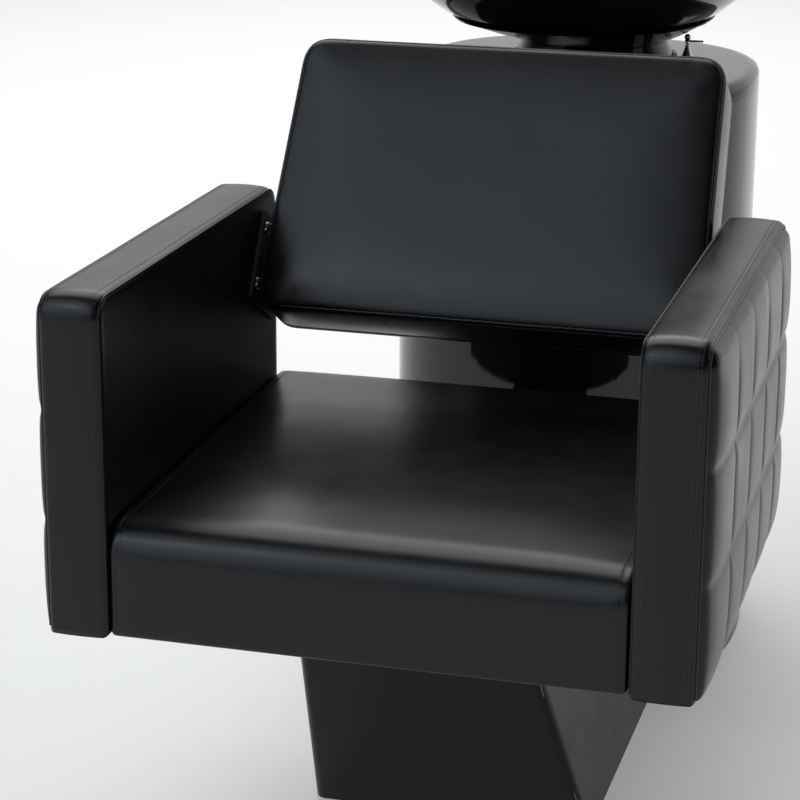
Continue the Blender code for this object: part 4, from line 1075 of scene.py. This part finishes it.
def quilt_relief(points, length, height, depth):
    """How far the pad stands out: a crowned whole, sewn down along its channels."""
    outer = smooth_step(points[:, 2], depth - 0.0101, depth - 0.002)
    u = (points[:, 0] / length + 0.5) * QUILT_COLUMNS
    v = (points[:, 1] / height + 0.5) * QUILT_ROWS
    across = np.abs(u - np.round(u)) * length / QUILT_COLUMNS
    along = np.abs(v - np.round(v)) * height / QUILT_ROWS
    inner_u = (np.round(u) > 0) & (np.round(u) < QUILT_COLUMNS)
    inner_v = (np.round(v) > 0) & (np.round(v) < QUILT_ROWS)
    top_fade = smooth_step(height / 2 - points[:, 1], 0.012, 0.060)
    groove_u = np.where(inner_u, 0.0028 * np.exp(-(across / 0.0032) ** 1.3)
                        + 0.0016 * np.exp(-(across / 0.0140) ** 1.5), 0.0)
    groove_v = np.where(inner_v, 0.0036 * np.exp(-(along / 0.0036) ** 1.3)
                        + 0.0026 * np.exp(-(along / 0.0180) ** 1.5), 0.0)
    crown = ((1 - np.abs(2 * points[:, 0] / length) ** 14)
             * (1 - np.abs(2 * points[:, 1] / height) ** 8))
    sewn = np.maximum(groove_u * (0.30 + 0.70 * top_fade), groove_v)
    return outer * (0.0100 * crown + 0.0022 - sewn * (0.35 + 0.65 * crown))


def make_quilt():
    """The right arm's quilted pad; the left one is its mirror image."""
    points, faces, length, height, depth = quilt_shape()
    right = new_piece("arm_quilt_pad_right", points, faces, "leather", None)
    points[:, 2] += quilt_relief(points, length, height, depth)
    set_coords(right, points)
    subdivide(right)
    points = coords(right)
    low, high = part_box("arm_quilt_right")
    middle = (low + high) / 2
    left = bpy.data.objects.new("arm_quilt_pad_left", right.data.copy())
    SCENE.collection.objects.link(left)
    for side, name, obj in ((1, "right", right), (-1, "left", left)):
        place = np.stack([side * (low.x + 0.0002 + points[:, 2]), middle.y + points[:, 0],
                          middle.z + points[:, 1]], axis=1)
        set_coords(obj, place)
        turn_outward(obj.data)
        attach(obj, "base")
        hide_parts("arm_quilt_" + name)


def arm_path(side, x, inset):
    """A line up the front, over the top and down the rear of an arm, inset from its surface."""
    place, length, height = arm_frame(side)
    start = 0.006
    r = ARM_CORNER - inset
    front, rear, top = ARM_CORNER, length - ARM_CORNER, height - ARM_CORNER
    turns = [math.pi / 2 * k / 12 for k in range(1, 13)]
    spots = [(inset, start), (inset, top)]
    spots += [(front - r * math.cos(turn), top + r * math.sin(turn)) for turn in turns]
    spots.append((rear, height - inset))
    spots += [(rear + r * math.sin(turn), top + r * math.cos(turn)) for turn in turns]
    spots.append((length - inset, start))
    return place(resample([(y, z, x) for y, z in spots], 0.003))


def make_arm_seams():
    """Welts on both edges of the band and the topstitching beside them."""
    welts, rows = [], []
    for side, name in ((-1, "left"), (1, "right")):
        tree = surface_of(bpy.data.objects["arm_cover_shell_" + name])
        inner, _ = settle(tree, arm_path(side, 0.0015, 0.0015), 0.0002)
        outer, _ = settle(tree, arm_path(side, ARM_BAND, 0.0035), 0.0003)
        welts += [inner, outer]
        rows += [settle(tree, arm_path(side, x, -0.001), 0.00005)
                 for x in (0.0100, ARM_BAND - 0.0065, ARM_BAND - 0.0105)]
    vertices, faces = sweep(welts, WELT_RADIUS, 8)
    new_piece("arm_welts", vertices, faces, "leather")
    stitches("arm_stitching", rows)


# ---------------------------------------------------------------- neck rest

def make_neck_rest():
    """A soft saddle over the notch, thicker in the middle and thin at its ends."""
    mesh = NODES["neck_rest"].data.copy()
    rest = bpy.data.objects.new("neck_rest_saddle", mesh)
    SCENE.collection.objects.link(rest)
    edit_mesh(mesh, lambda bm: bmesh.ops.remove_doubles(bm, verts=bm.verts, dist=0.00001))
    remesh = rest.modifiers.new("remesh", "REMESH")
    remesh.mode = "VOXEL"
    remesh.voxel_size = 0.0016
    softer = rest.modifiers.new("smooth", "SMOOTH")
    softer.factor = 0.5
    softer.iterations = 10
    bake(rest)
    rest.data.materials.clear()
    rest.data.materials.append(LOOKS["rubber"])
    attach(rest, "bowl")
    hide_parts("neck_rest")


# ---------------------------------------------------------------- hoses

def hose_route(side):
    low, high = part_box("hot_hose" if side < 0 else "cold_hose")
    spots = [(0.100, 0.474, 0.3663), (0.100, 0.476, 0.40), (0.094, 0.486, 0.47),
             (0.074, 0.507, 0.56), (0.052, 0.521, 0.66), (0.037, 0.526, 0.74),
             (0.028, 0.530, 0.79), (0.020, 0.542, 0.835), (0.0135, 0.555, 0.88),
             (0.0125, 0.557, 0.9205)]
    route = [np.array((side * x, y, z)) for x, y, z in spots]
    route[0][2], route[-1][2] = low.z, high.z
    return route


def smooth_path(route, count):
    """Points on a Catmull-Rom curve through a route's own points."""
    route = [2 * route[0] - route[1]] + route + [2 * route[-1] - route[-2]]
    spans = len(route) - 3
    path = []
    for step in range(count):
        place = spans * step / (count - 1)
        i = min(int(place), spans - 1)
        t = place - i
        a, b, c, d = route[i:i + 4]
        path.append(0.5 * (2 * b + (c - a) * t + (2 * a - 5 * b + 4 * c - d) * t * t
                           + (3 * b - a - 3 * c + d) * t * t * t))
    return path


def make_hoses():
    """Braided supply hoses with crimped ends, and a bellows."""
    for side, name in ((-1, "hot"), (1, "cold")):
        line = resample(smooth_path(hose_route(side), 150), HOSE_STEP)
        steps = np.linalg.norm(np.diff(line, axis=0), axis=1)
        place = np.concatenate([[0.0], np.cumsum(steps)])
        crimped = (place < CRIMP_LENGTH) | (place > place[-1] - CRIMP_LENGTH)
        ridge = HOSE_RIB * np.sin(place / HOSE_RIB_PITCH * 2 * math.pi)
        radius = np.where(crimped, CRIMP_RADIUS, HOSE_RADIUS + ridge)
        vertices, faces = sweep([line], list(radius), 16)
        hose = new_piece(name + "_hose_braided", vertices, faces, "braid", None)
        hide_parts(name + "_hose")
        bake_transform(hose)
    low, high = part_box("waste_hose")
    axis = (low + high) / 2
    pitch = (high.z - low.z) / BELLOWS_RIBS
    profile = [(BELLOWS_END, high.z)]
    for i in range(BELLOWS_RIBS):
        top = high.z - i * pitch
        profile += [(reach, top - share * pitch) for share, reach in BELLOWS_RIB]
    profile.append((BELLOWS_END, low.z))
    steps = BELLOWS_SIDES
    vertices, faces = [], []
    for reach, z in profile:
        for k in range(steps):
            turn = 2 * math.pi * k / steps
            vertices.append((axis.x + reach * math.cos(turn), axis.y + reach * math.sin(turn), z))
    for i in range(len(profile) - 1):
        for k in range(steps):
            a, b = i * steps + k, i * steps + (k + 1) % steps
            faces.append((a, b, b + steps, a + steps))
    faces.append(tuple(range(steps)))
    faces.append(tuple(range(len(vertices) - steps, len(vertices))))
    bellows = new_piece("waste_bellows", vertices, faces, "hose", None)
    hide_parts("waste_hose")
    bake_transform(bellows)


# ---------------------------------------------------------------- build

make_camera()
make_world()
make_lights()
make_floor()
LOOKS = make_materials()
finish_nodes()
make_seat()
make_backrest()
for arm_side, arm_name in ((-1, "left"), (1, "right")):
    make_arm_cover(arm_side, arm_name)
make_quilt()
make_arm_seams()
make_neck_rest()
make_hoses()
SCENE.view_settings.view_transform = "Standard"
